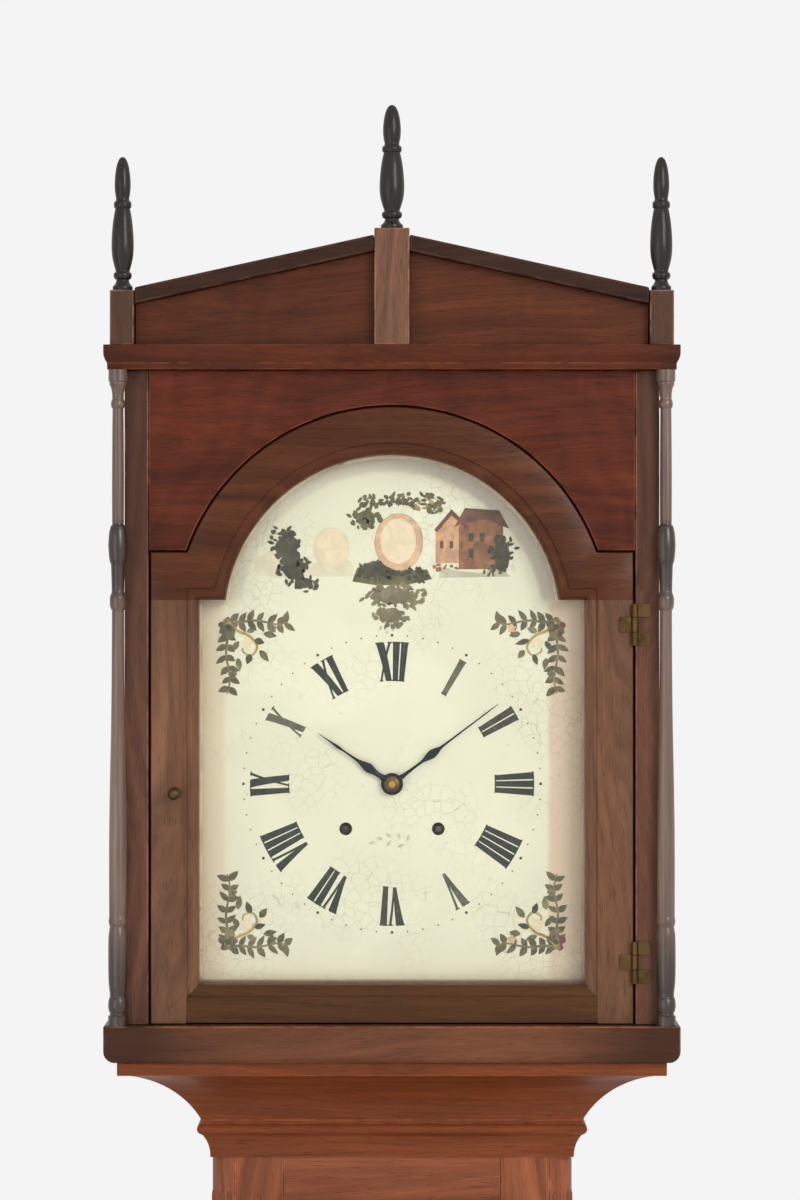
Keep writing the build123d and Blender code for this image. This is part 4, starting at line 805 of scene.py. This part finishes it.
# ------------------------------------------------------------------ dial
def flat_piece(name, polys, mat, y, body, t=0.00004):
    """Thin painted shapes on the dial: closed polygons in x, z at depth y, each a hair thicker than the last."""
    verts, faces = [], []
    for i, pl in enumerate(polys):
        area2 = sum(pl[k][0] * pl[(k + 1) % len(pl)][1] - pl[(k + 1) % len(pl)][0] * pl[k][1] for k in range(len(pl)))
        if area2 < 0:
            pl = pl[::-1]
        n, b = len(pl), len(verts)
        tt = t + (i % 24) * 0.0000012
        verts += [(x, y, z) for x, z in pl] + [(x, y - tt, z) for x, z in pl]
        faces.append(tuple(b + n + k for k in range(n)))
        faces.append(tuple(b + n - 1 - k for k in range(n)))
        for k in range(n):
            q = (k + 1) % n
            faces.append((b + k, b + q, b + n + q, b + n + k))
    me = bpy.data.meshes.new(name)
    me.from_pydata(verts, [], faces)
    bm = bmesh.new()
    bm.from_mesh(me)
    bmesh.ops.triangulate(bm, faces=[f for f in bm.faces if len(f.verts) > 4])
    bm.to_mesh(me)
    bm.free()
    return link(name, me, mat, body, ())


def stroke(p0, p1, w0, w1, n=1):
    dx, dz = p1[0] - p0[0], p1[1] - p0[1]
    ll = math.hypot(dx, dz) or 1
    nx, nz = -dz / ll, dx / ll
    return [(p0[0] + nx * w0 / 2, p0[1] + nz * w0 / 2), (p1[0] + nx * w1 / 2, p1[1] + nz * w1 / 2),
            (p1[0] - nx * w1 / 2, p1[1] - nz * w1 / 2), (p0[0] - nx * w0 / 2, p0[1] - nz * w0 / 2)]


def glyphs(text, h):
    """Roman numeral as polygons in local u (across), v (0 at the foot to h); returns polygons and width."""
    polys, u = [], 0.0
    for ch in text:
        if ch == "I":
            w = 6.0
            c = u + w / 2
            polys.append([(c - 2.75, 0), (c + 2.75, 0), (c + 2.75, h), (c - 2.75, h)])
            for v in (0, h):
                polys.append([(c - 3.2, v - 0.6), (c + 3.2, v - 0.6), (c + 3.2, v + 0.6), (c - 3.2, v + 0.6)])
        elif ch == "V":
            w = 13.0
            polys.append([(u + 0.2, h), (u + 6.8, h), (u + 8.6, 0), (u + 5.2, 0)])
            polys.append([(u + 10.2, h), (u + 12.2, h), (u + 8.6, 0), (u + 6.6, 0)])
            polys.append([(u - .2, h - .5), (u + 6.4, h - .5), (u + 6.4, h + .5), (u - .2, h + .5)])
            polys.append([(u + 9.2, h - .5), (u + 13, h - .5), (u + 13, h + .5), (u + 9.2, h + .5)])
        else:
            w = 13.0
            polys.append([(u + 0.3, h), (u + 6.7, h), (u + 12.8, 0), (u + 6.4, 0)])
            polys.append([(u + 10.2, h), (u + 12.2, h), (u + 2.8, 0), (u + 0.8, 0)])
            for a, b, v in ((-.2, 6.3, h), (9.4, 13, h), (0, 3.8, 0), (6.8, 13.2, 0)):
                polys.append([(u + a, v - .5), (u + b, v - .5), (u + b, v + .5), (u + a, v + .5)])
        u += w + 0.55
    return polys, u - 0.55


def subdiv(pl, n=6):
    out = []
    for i, p in enumerate(pl):
        q = pl[(i + 1) % len(pl)]
        for k in range(n):
            out.append((p[0] + (q[0] - p[0]) * k / n, p[1] + (q[1] - p[1]) * k / n))
    return out


R0, RH = 80.5, 29.5          # numerals' foot radius and height, mm


def ring_dial():
    Y = DIAL_Y - 0.00002
    rm = R0 + RH / 2
    sets = {"ink": [], "ink_faded": [], "ink_mid": []}
    hours = ["XII", "I", "II", "III", "IIII", "V", "VI", "VII", "VIII", "IX", "X", "XI"]
    tone = {1: "ink_faded", 5: "ink_faded", 10: "ink_faded", 6: "ink_mid", 2: "ink_mid"}
    for k, t in enumerate(hours):
        polys, w = glyphs(t, RH)
        for pl in polys:
            pts = []
            for u, v in subdiv(pl):
                a = math.radians(30 * k) + (u - w / 2) * 0.86 / rm
                r = R0 + v
                pts.append((r * math.sin(a) / 1000, ZD + r * math.cos(a) / 1000))
            sets[tone.get(k, "ink")].append(pts)
    for nm, pls in sets.items():
        flat_piece("numerals_" + nm, pls, MAT[nm], Y, "case", 0.00006)
    marks = []
    for k in range(60):
        a = math.radians(6 * k)
        rr = 1.15 if k % 5 == 0 else 0.62
        cx, cz = 115.6 * math.sin(a), 115.6 * math.cos(a)
        marks.append([((cx + rr * math.cos(b)) / 1000, ZD + (cz + rr * math.sin(b)) / 1000) for b in [2 * math.pi * i / 10 for i in range(10)]])
    flat_piece("minute_dots", marks, MAT["ink_mid"], Y, "case", 0.00005)


ring_dial()


# ---- painted corners and arch, in mm about the dial's own axes
RNG = random.Random(41)


def to_m(pts):
    return [(x / 1000, z / 1000) for x, z in pts]


def leaf(x, z, ang, ln, wd, bend=0.0):
    """Pointed leaf from its stalk at x, z."""
    ca, sa = math.cos(ang), math.sin(ang)
    side = []
    for i in range(7):
        t = i / 6
        w = wd * math.sin(math.pi * t ** 0.8) * 0.5
        side.append((t * ln, w + bend * t * t * ln))
    back = [(t[0], -wd * math.sin(math.pi * (t[0] / ln) ** 0.8) * 0.5 + bend * (t[0] / ln) ** 2 * ln) for t in reversed(side[1:-1])]
    return to_m([(x + u * ca - v * sa, z + u * sa + v * ca) for u, v in side + back])


def dab(x, z, rx, rz, ang=0.0, n=12, rough=0.18):
    """One irregular brush dab."""
    ca, sa = math.cos(ang), math.sin(ang)
    out = []
    for i in range(n):
        a = 2 * math.pi * i / n
        k = 1 + RNG.uniform(-rough, rough)
        u, v = rx * k * math.cos(a), rz * k * math.sin(a)
        out.append((x + u * ca - v * sa, z + u * sa + v * ca))
    return to_m(out)


def stem(pts, w0, w1):
    """Tapering curved stroke through the points."""
    c = spline([(float(a), float(b)) for a, b in pts], 6)
    left, right = [], []
    n = len(c)
    for i, (x, z) in enumerate(c):
        a, b = c[max(0, i - 1)], c[min(n - 1, i + 1)]
        d = math.hypot(b[0] - a[0], b[1] - a[1]) or 1
        nx, nz = -(b[1] - a[1]) / d, (b[0] - a[0]) / d
        w = (w0 + (w1 - w0) * i / (n - 1)) / 2
        left.append((x + nx * w, z + nz * w))
        right.append((x - nx * w, z - nz * w))
    return to_m(left + right[::-1]), c


LAYER = {}


def paint_on(mat, *polys):
    LAYER.setdefault(mat, []).extend(polys)


def flower(x, z, r, petals, mat, heart):
    for i in range(petals):
        a = 2 * math.pi * i / petals + 0.3
        paint_on(mat, dab(x + r * 0.55 * math.cos(a), z + r * 0.55 * math.sin(a), r * 0.52, r * 0.40, a, 10, 0.10))
    paint_on(heart, dab(x, z, r * 0.30, r * 0.30, 0, 9, 0.08))


def spandrel(sx, sz, xc, zc, rose):
    """Spray of leaves filling a corner; xc, zc is the corner, sx, sz point to the dial's middle."""
    def q(u, v):
        return (xc + sx * u, zc + sz * v)
    for pts in ([(3, 3), (14, 5), (28, 4), (44, 7), (52, 5)], [(3, 3), (5, 15), (4, 31), (7, 48), (5, 61)]):
        poly, c = stem([q(*p_) for p_ in pts], 2.6, 1.0)
        paint_on("p_grey", poly)
        for i in range(3, len(c) - 1, 3):
            x, z = c[i]
            dx, dz = c[i + 1][0] - c[i - 1][0], c[i + 1][1] - c[i - 1][1]
            a = math.atan2(dz, dx)
            for k in (-1, 1):
                paint_on("p_olive" if (i + k) % 4 else "p_leaf", leaf(x, z, a + k * 0.85, RNG.uniform(8.0, 11.0), RNG.uniform(4.2, 5.6), 0.10 * k))
    poly, c = stem([q(5, 5), q(13, 12), q(22, 16), q(28, 24), q(24, 31), q(17, 28), q(18, 22)], 2.6, 1.0)
    paint_on("p_gold", poly)
    for i, (u, v, a) in enumerate(((14, 20, 2.2), (20, 13, -0.4), (26, 19, 0.3), (30, 27, 0.9), (11, 13, 2.6), (23, 30, 1.9), (33, 14, 0.2), (13, 33, 1.4))):
        x, z = q(u, v)
        paint_on(("p_leaf", "p_grey", "p_tree")[i % 3], leaf(x, z, math.atan2(sz * math.sin(a), sx * math.cos(a)), RNG.uniform(8, 12), RNG.uniform(4.2, 5.6)))
    x, z = q(20, 22)
    flower(x, z, 4.6, 5, "p_cream", "p_gold")
    x, z = q(5.5, 9.0) if sz < 0 else q(5.5, 8.0)
    flower(x, z, 7.4, 5, rose, "p_tree")
    x, z = q(40, 10)
    flower(x, z, 3.4, 5, "p_pink" if rose == "p_rose" else "p_grey", "p_leaf")
    x, z = q(9, 46)
    flower(x, z, 3.4, 5, "p_grey", "p_leaf")


for sx_, rose_ in ((1, "p_brown_dark"), (-1, "p_rose")):
    spandrel(sx_, -1, -sx_ * 133.0, 1907.0, rose_)
    spandrel(sx_, 1, -sx_ * 133.0, 1645.0, rose_)


def P(dx, dy):
    """Arch picture's own drawing grid to mm."""
    return ((190 + dx * 0.6193 - 392.5) * 0.77, 2300 - (430 + dy * 0.6193 - 105) * 0.77)


K = 0.6193 * 0.77


def bush(mat, dx, dy, w, h, n, size, seedless=0):
    """Cluster of leaf dabs filling an oval."""
    x0, z0 = P(dx, dy)
    for i in range(n):
        a, r = RNG.uniform(0, 2 * math.pi), math.sqrt(RNG.uniform(0, 1))
        x, z = x0 + r * w * K / 2 * math.cos(a), z0 + r * h * K / 2 * math.sin(a)
        if i % 3:
            paint_on(mat, dab(x, z, size * RNG.uniform(0.6, 1.1), size * RNG.uniform(0.4, 0.8), RNG.uniform(0, 3), 9, 0.22))
        else:
            paint_on(mat, leaf(x, z, RNG.uniform(0, 6.28), size * 2.0, size * 0.9))


def quad(mat, *pts):
    paint_on(mat, to_m([P(*p_) for p_ in pts]))


def oval(mat, dx, dy, w, h, n=30, rough=0.015):
    x, z = P(dx, dy)
    paint_on(mat, dab(x, z, w * K / 2, h * K / 2, 0, n, rough))


# distance: pale hills and water
quad("p_sky", (98, 236), (104, 206), (130, 196), (168, 204), (205, 214), (236, 204), (262, 212), (266, 236))
quad("p_grey_l", (404, 238), (404, 218), (430, 226), (470, 230), (508, 222), (520, 236))
# tree and its slope at the left
quad("p_tree", (168, 256), (170, 216), (163, 188), (169, 186), (177, 212), (181, 256))
oval("p_tree", 156, 190, 36, 38, 16, 0.14)
oval("p_tree", 166, 222, 40, 36, 16, 0.14)
oval("p_tree", 184, 246, 28, 17, 14, 0.14)
bush("p_tree", 157, 188, 56, 52, 42, 3.0)
bush("p_tree", 166, 222, 54, 46, 34, 2.8)
bush("p_leaf", 146, 172, 40, 32, 14, 2.4)
bush("p_leaf", 188, 250, 42, 22, 16, 2.4)
bush("p_tree", 196, 246, 28, 16, 10, 2.2)
# cream cloud-shaped medallion beside the centre
oval("p_sky", 228, 190, 60, 68)
oval("p_cream", 229, 189, 54, 62)
# foliage over the middle
oval("p_leaf", 284, 140, 30, 26, 14, 0.15)
bush("p_leaf", 285, 138, 50, 40, 30, 2.7)
bush("p_roof", 280, 146, 26, 26, 8, 2.2)
bush("p_olive", 342, 112, 148, 26, 66, 2.6)
bush("p_leaf", 390, 118, 40, 34, 16, 2.6)
bush("p_gold", 385, 120, 44, 18, 10, 2.2)
# centre medallion
oval("p_roof_l", 338, 180, 80, 94)
oval("p_pink", 338, 180, 77, 91)
oval("p_cream", 337, 178, 58, 74)
oval("p_pink", 346, 184, 16, 30)
oval("p_roof_l", 347, 190, 8, 18, 12, 0.1)
# house at the right
quad("p_tan", (398, 214), (398, 156), (424, 128), (450, 152), (450, 214))
quad("p_brown", (436, 224), (436, 154), (462, 130), (508, 148), (510, 224))
quad("p_roof", (428, 156), (446, 124), (502, 128), (518, 158), (480, 142), (440, 150))
quad("p_roof", (396, 160), (424, 126), (452, 154), (448, 158), (424, 136), (400, 164))
for wx in (408, 424, 440):
    quad("p_roof", (wx - 3, 178), (wx + 3, 178), (wx + 3, 190), (wx - 3, 190))
for wx, wy in ((456, 172), (474, 172), (456, 198)):
    quad("p_tree", (wx - 4, wy - 7), (wx + 4, wy - 7), (wx + 4, wy + 7), (wx - 4, wy + 7))
oval("p_tree", 506, 202, 26, 48, 16, 0.14)
bush("p_tree", 506, 200, 42, 66, 40, 2.6)
bush("p_leaf", 490, 224, 44, 18, 14, 2.2)
bush("p_brown", 410, 222, 40, 12, 8, 2.4)
# ground and the hanging spray below
quad("p_olive", (262, 244), (270, 222), (296, 210), (330, 216), (356, 226), (384, 224), (392, 240), (350, 250), (300, 250))
oval("p_tree", 304, 228, 50, 18, 16, 0.14)
bush("p_tree", 304, 226, 72, 30, 40, 2.6)
bush("p_tree", 366, 234, 46, 22, 24, 2.4)
oval("p_grey", 330, 268, 72, 26, 18, 0.14)
bush("p_grey", 330, 268, 100, 40, 56, 2.9)
bush("p_olive", 328, 262, 64, 26, 26, 2.5)
oval("p_grey", 326, 300, 36, 24, 16, 0.14)
bush("p_grey", 326, 302, 60, 38, 34, 2.6)
bush("p_grey_l", 322, 318, 28, 18, 10, 2.2)
# sprig under the centre
for i, (dx_, dy_) in enumerate(((300, 668), (312, 664), (326, 662), (340, 664), (352, 668), (318, 676), (336, 677))):
    x_, z_ = P(dx_, dy_)
    paint_on("p_grey_l", leaf(x_, z_, math.radians(200 - 30 * i), 6.0, 2.4))

ORDER = ["p_sky", "p_grey_l", "p_olive", "p_roof_l", "p_tan", "p_brown", "p_roof", "p_brown_dark", "p_rose", "p_grey", "p_gold", "p_leaf", "p_tree", "p_pink", "p_cream"]
for i_, nm_ in enumerate(ORDER):
    if nm_ in LAYER:
        flat_piece("dial_painting_" + nm_[2:], LAYER[nm_], MAT[nm_], DIAL_Y - 0.00001, "case", 0.00005 + 0.00003 * i_)

N["dial_plate"].data.materials.clear()
N["dial_plate"].data.materials.append(MAT["dial"])


# ------------------------------------------------------------------ hands
def hand_mesh(name, angle, y_back, t, left, body, rep, hub, bore, collet):
    """Hand from its right-hand outline (u, v), mirrored; crowned down the middle."""
    pts = [(u, v) for u, v in left]
    outline = pts + [(-u, v) for u, v in reversed(pts)]
    a = math.radians(angle)

    def put(u, v, y):
        return ((v * math.sin(a) + u * math.cos(a)) / 1000, y, ZD + (v * math.cos(a) - u * math.sin(a)) / 1000)
    n = len(pts)
    verts, faces = [], []
    for u, v in pts:                         # right edge back, right edge front, spine
        verts.append(put(u, v, y_back))
    for u, v in pts:
        verts.append(put(u, v, y_back - t * 0.45))
    for u, v in pts:
        verts.append(put(0, v, y_back - t))
    for u, v in pts:
        verts.append(put(-u, v, y_back - t * 0.45))
    for u, v in pts:
        verts.append(put(-u, v, y_back))
    for r in range(5):
        q = (r + 1) % 5
        for i in range(n - 1):
            faces.append((r * n + i, r * n + i + 1, q * n + i + 1, q * n + i))
    faces.append(tuple(r * n for r in range(5)))
    faces.append(tuple(r * n + n - 1 for r in reversed(range(5))))
    me = bpy.data.meshes.new(name)
    me.from_pydata(verts, [], faces)
    bm = bmesh.new(); bm.from_mesh(me)
    bmesh.ops.remove_doubles(bm, verts=bm.verts, dist=1e-6)
    bmesh.ops.recalc_face_normals(bm, faces=bm.faces)
    bm.to_mesh(me); bm.free()
    ob = link(name, me, MAT["blued"], body, rep, smooth=30)
    prof = [(bore, y_back), (hub, y_back), (hub + 0.0001, y_back - t * 0.5), (hub - 0.0006, y_back - t), (bore, y_back - t), (bore, y_back)]
    lathe(name + "_boss", 0, ZD, prof, MAT["blued"], body, (), n=40, axis="y")
    return ob


def eased(pts):
    return [p_ for p_ in spline([(float(a), float(b)) for a, b in pts], 5)]


mh = eased([(2.5, 5), (1.4, 14), (1.0, 24), (1.2, 30), (2.5, 34.5), (3.4, 39), (2.5, 43.5), (1.1, 48), (0.7, 60), (0.55, 80), (0.5, 92), (0.2, 103.8)])
hh = eased([(3.3, 6), (2.0, 12), (2.5, 17), (3.7, 22), (2.6, 27), (1.3, 32), (0.8, 40), (0.75, 46), (1.15, 50), (1.2, 52), (0.7, 57), (0.2, 69.8)])
hand_mesh("minute_hand_v", 53.0, -0.0890, 0.0012, mh, "minute_arbor", ["minute_hand"], 0.0070, 0.00262, None)
hand_mesh("hour_hand_v", 304.4, -0.0852, 0.0012, hh, "hour_pipe", ["hour_hand"], 0.0085, 0.00405, None)
lathe("hand_collet", 0, ZD, spline([(0.0026, -0.0902), (0.0026, -0.0902), (0.0062, -0.0903), (0.0062, -0.0903), (0.0058, -0.0912), (0.0040, -0.0919), (0.0026, -0.0921),
                                    (0.0026, -0.0921), (0.0026, -0.0902)], 4), MAT["brass_dark"], "minute_arbor", (), n=36, axis="y")


# ------------------------------------------------------------------ metal parts straight from the CAD, with soft edges where they show
def plain(node, mat):
    ob = N[node]
    ob.data.materials.clear()
    ob.data.materials.append(MAT[mat])


for n_ in ("movement_plates", "movement_pillars", "time_great_wheel", "strike_great_wheel", "time_barrel", "strike_barrel", "back_cock", "centre_arbor",
           "third_wheel", "escape_wheel", "pin_wheel", "gathering_wheel", "warning_wheel", "fly", "hour_wheel", "minute_wheel", "time_pulley", "strike_pulley"):
    plain(n_, "brass")
for n_ in ("trunk_door_hinges", "trunk_door_furniture", "hood_door_hinges", "hood_door_furniture"):
    plain(n_, "brass_old")
for n_ in ("hammer", "anchor", "pendulum_rod"):
    plain(n_, "steel")
for n_, c_ in (("time_barrel", 0.036), ("strike_barrel", -0.036)):
    MAT[n_] = winding(c_)
    plain(n_, n_)
plain("bell", "bell")
plain("pendulum_bob", "brass")
for n_ in ("time_weight", "strike_weight"):
    plain(n_, "weight")
for n_ in ("time_line", "strike_line", "line_tops"):
    plain(n_, "gut")


# ------------------------------------------------------------------ lines: one loop each, from the seat board round the weight's pulley
def tube(name, pts, r, mat, body, rep_=(), n=8, caps=True):
    """Round tube along the points, carried without twist."""
    P_ = [Vector(q_) for q_ in pts]
    verts, faces = [], []
    t0 = (P_[1] - P_[0]).normalized()
    ref = Vector((0, 1, 0)) if abs(t0.y) < 0.9 else Vector((1, 0, 0))
    nrm = (ref - t0 * ref.dot(t0)).normalized()
    for k, c in enumerate(P_):
        a, b = P_[max(0, k - 1)], P_[min(len(P_) - 1, k + 1)]
        t = (b - a).normalized()
        nrm = (nrm - t * nrm.dot(t)).normalized()
        bn = t.cross(nrm)
        for j in range(n):
            a_ = 2 * math.pi * j / n
            verts.append(c + nrm * (r * math.cos(a_)) + bn * (r * math.sin(a_)))
    for k in range(len(P_) - 1):
        for j in range(n):
            q_ = (j + 1) % n
            faces.append((k * n + j, k * n + q_, (k + 1) * n + q_, (k + 1) * n + j))
    if caps:
        faces.append(tuple(reversed(range(n))))
        faces.append(tuple(range((len(P_) - 1) * n, len(P_) * n)))
    me = bpy.data.meshes.new(name)
    me.from_pydata([tuple(v) for v in verts], [], faces)
    me.validate()
    return link(name, me, mat, body, rep_, smooth=50)


LINE_Y, LR = 0.002, 0.00075
for key, x0 in (("time", 0.0177), ("strike", -0.0543)):
    xc = x0 + 0.017
    pts = [(x0, LINE_Y, 1.6679 - (1.6679 - 1.560) * i_ / 36) for i_ in range(37)]
    pts += [(xc - 0.017 * math.cos(a_), LINE_Y, 1.560 - 0.017 * math.sin(a_)) for a_ in [math.pi * i_ / 28 for i_ in range(1, 28)]]
    pts += [(x0 + 0.034, LINE_Y, 1.560 + (1.6679 - 1.560) * i_ / 36) for i_ in range(37)]
    ob = tube(key + "_line_loop", pts, LR, MAT["gut"], None, ())
    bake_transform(ob)
    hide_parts(key + "_line")
for key, bx, ya in (("time", 0.036, -0.0228), ("strike", -0.036, -0.0188)):
    turns, pts = (LINE_Y - ya) / 0.00155, []
    n_ = int(turns * 28)
    for i_ in range(n_ + 1):
        f_ = i_ / n_
        a_ = math.pi - (1 - f_) * turns * 2 * math.pi
        pts.append((bx + 0.01832 * math.cos(a_), ya + (LINE_Y - ya) * f_, 1.741 + 0.01832 * math.sin(a_)))
    tube(key + "_line_turns", pts, LR, MAT["gut"], key + "_barrel", (), n=6)


# ------------------------------------------------------------------ reeds on the trunk's rounded corners
def reeds():
    verts, faces = [], []
    cy, R_, w = -0.034, 0.018, 0.0021
    for s_ in (-1, 1):
        for fi in (14, 34, 54, 74):
            f0 = math.radians(fi)
            cx_, c_y = s_ * (0.1235 + R_ * math.sin(f0)), cy - R_ * math.cos(f0)
            nx, ny = s_ * math.sin(f0), -math.cos(f0)
            tx, ty = -ny, nx
            zs = [0.672, 0.6735, 0.676] + [0.70 + 0.73 * k / 6 for k in range(7)] + [1.4515, 1.454, 1.4555]
            sc = [0.15, 0.72, 1.0] + [1.0] * 7 + [1.0, 0.72, 0.15]
            base, m_ = len(verts), 9
            for z_, q_ in zip(zs, sc):
                for j in range(m_):
                    a_ = math.pi * j / (m_ - 1)
                    u, v = w * q_ * math.cos(a_), w * 0.85 * q_ * math.sin(a_) - 0.0006
                    verts.append((cx_ + tx * u + nx * v, c_y + ty * u + ny * v, z_))
            for k in range(len(zs) - 1):
                for j in range(m_):
                    q_ = (j + 1) % m_
                    faces.append((base + k * m_ + j, base + k * m_ + q_, base + (k + 1) * m_ + q_, base + (k + 1) * m_ + j))
            faces.append(tuple(base + j for j in range(m_)))
            faces.append(tuple(base + (len(zs) - 1) * m_ + j for j in reversed(range(m_))))
    me = bpy.data.meshes.new("trunk_reeds")
    me.from_pydata(verts, [], faces)
    bm = bmesh.new(); bm.from_mesh(me)
    bmesh.ops.recalc_face_normals(bm, faces=bm.faces)
    bm.to_mesh(me); bm.free()
    set_gp(me, 12, 2)
    link("trunk_reeds", me, MAT["trunk"], "case", (), smooth=40)


reeds()


# ------------------------------------------------------------------ small brass: eased hinges, turned pull, escutcheons and a slotted-screw maker that nothing calls
for n_ in ("hood_door_hinges", "trunk_door_hinges", "trunk_door_furniture"):
    board(n_, "brass_old", 0.00028, seg=2, ang=40, smooth=35)
lathe("hood_door_pull", -0.1675, 1.770, spline([(0.0, HD_F - 0.0147), (0.0018, HD_F - 0.0145), (0.0034, HD_F - 0.0135), (0.0044, HD_F - 0.0116), (0.0046, HD_F - 0.0098),
      (0.0040, HD_F - 0.0078), (0.0024, HD_F - 0.0066), (0.0019, HD_F - 0.0058), (0.0019, HD_F - 0.0034), (0.0019, HD_F - 0.0034), (0.0030, HD_F - 0.0028), (0.0044, HD_F - 0.0016),
      (0.0047, HD_F - 0.0004), (0.0047, HD_F - 0.0004), (0.0045, HD_F + 0.00002), (0.0, HD_F + 0.00002)], 4), MAT["brass_old"], "hood_door", ["hood_door_furniture"], n=36, axis="y")


def knuckle(zc, x, y, r, hz, leaf_x0, leaf_y0, leaf_y1, nm):
    prof = [(0.00125, zc - hz), (r - 0.0003, zc - hz), (r, zc - hz + 0.0003), (r, zc + hz - 0.0003), (r - 0.0003, zc + hz), (0.00125, zc + hz), (0.00125, zc - hz)]
    lathe(nm + "_knuckle", x, y, prof, MAT["brass_old"], "hood_door", ["hood_door_furniture"], n=28)
    bm = bmesh.new()
    co = [(leaf_x0, leaf_y0), (x - 0.0017, leaf_y0), (x - 0.0017, leaf_y1), (leaf_x0, leaf_y1)]
    lo = [bm.verts.new((a, b, zc - hz)) for a, b in co]
    hi = [bm.verts.new((a, b, zc + hz)) for a, b in co]
    bm.faces.new(lo[::-1]); bm.faces.new(hi)
    for k in range(4):
        bm.faces.new((lo[k], lo[(k + 1) % 4], hi[(k + 1) % 4], hi[k]))
    bmesh.ops.bevel(bm, geom=bm.edges[:], offset=0.00025, segments=2, profile=0.6, affect="EDGES")
    bmesh.ops.recalc_face_normals(bm, faces=bm.faces)
    me = bpy.data.meshes.new(nm + "_leaf")
    bm.to_mesh(me); bm.free()
    link(nm + "_leaf", me, MAT["brass_old"], "hood_door", ["hood_door_furniture"], smooth=35)


for zc_, nm_ in ((1.640, "hood_hinge_low"), (1.900, "hood_hinge_high")):
    knuckle(zc_, 0.187, -0.1192, 0.0025, 0.0058, 0.175, HD_F - 0.0012, HD_F - 0.00001, nm_)


def screw(name, x, z, y, r, body, ang=0.6, mat="brass_dark", slot="brass"):
    """Slotted screw head, slightly domed."""
    bm = bmesh.new()
    rows = [(1.0, 0.0), (1.0, 0.25), (0.9, 0.42), (0.6, 0.55), (0.3, 0.60)]
    n = 20
    prev = None
    for q_, h in rows:
        ring = [bm.verts.new((x + r * q_ * math.cos(2 * math.pi * k / n), y - h * r * 0.5, z + r * q_ * math.sin(2 * math.pi * k / n))) for k in range(n)]
        if prev:
            for k in range(n):
                bm.faces.new((prev[k], prev[(k + 1) % n], ring[(k + 1) % n], ring[k]))
        else:
            bm.faces.new(ring)
        prev = ring
    bm.faces.new(prev)
    # slot pressed in as a groove
    ca, sa = math.cos(ang), math.sin(ang)
    for v in bm.verts:
        d = abs((v.co.x - x) * -sa + (v.co.z - z) * ca)
        if d < r * 0.16 and v.co.y < y - r * 0.12:
            v.co.y += r * 0.16
    bmesh.ops.recalc_face_normals(bm, faces=bm.faces)
    me = bpy.data.meshes.new(name)
    bm.to_mesh(me); bm.free()
    return link(name, me, MAT[mat], body, (), smooth=30)


# ------------------------------------------------------------------ floor, world, lights
def floor():
    verts, faces = [(0.0, 0.0, 0.0)], []
    rings, seg, rad = 12, 96, 3.2
    for i in range(1, rings + 1):
        for j in range(seg):
            a = 2 * math.pi * j / seg
            verts.append((rad * i / rings * math.cos(a), rad * i / rings * math.sin(a), 0.0))
    for j in range(seg):
        faces.append((0, 1 + j, 1 + (j + 1) % seg))
    for i in range(rings - 1):
        for j in range(seg):
            a, b = 1 + i * seg, 1 + (i + 1) * seg
            k = (j + 1) % seg
            faces.append((a + j, b + j, b + k, a + k))
    me = bpy.data.meshes.new("floor")
    me.from_pydata(verts, [], faces)
    ob = bpy.data.objects.new("floor", me)
    scene.collection.objects.link(ob)
    m = M("floor_pale")
    o = m.obj()
    c = m.mix(m.noise(o, 0.8, 3, 0.5), lin(238, 238, 237), lin(231, 230, 229))
    me.materials.append(m.done(Base_Color=c, Roughness=0.6, Normal=m.bump(m.noise(o, 160.0, 3, 0.6), 0.0003)))


floor()
world = bpy.data.worlds.new("studio")
scene.world = world
world.use_nodes = True
bg = world.node_tree.nodes["Background"]
bg.inputs[0].default_value = (1, 1, 1, 1)
bg.inputs[1].default_value = 0.905


def area(name, loc, target, size, power, color=(1, 1, 1)):
    d = bpy.data.lights.new(name, "AREA")
    d.energy, d.shape, d.size, d.size_y, d.color = power, "RECTANGLE", size[0], size[1], color
    ob = bpy.data.objects.new(name, d)
    scene.collection.objects.link(ob)
    ob.location = loc
    ob.rotation_euler = (Vector(target) - Vector(loc)).to_track_quat("-Z", "Y").to_euler()


area("key", (1.7, -2.9, 3.0), (0, 0, 1.75), (1.3, 1.3), 52, (1.0, 0.98, 0.94))
area("fill", (-2.0, -2.8, 1.7), (0, 0, 1.7), (1.8, 2.2), 20, (1.0, 0.98, 0.96))
scene.view_settings.view_transform = "Standard"
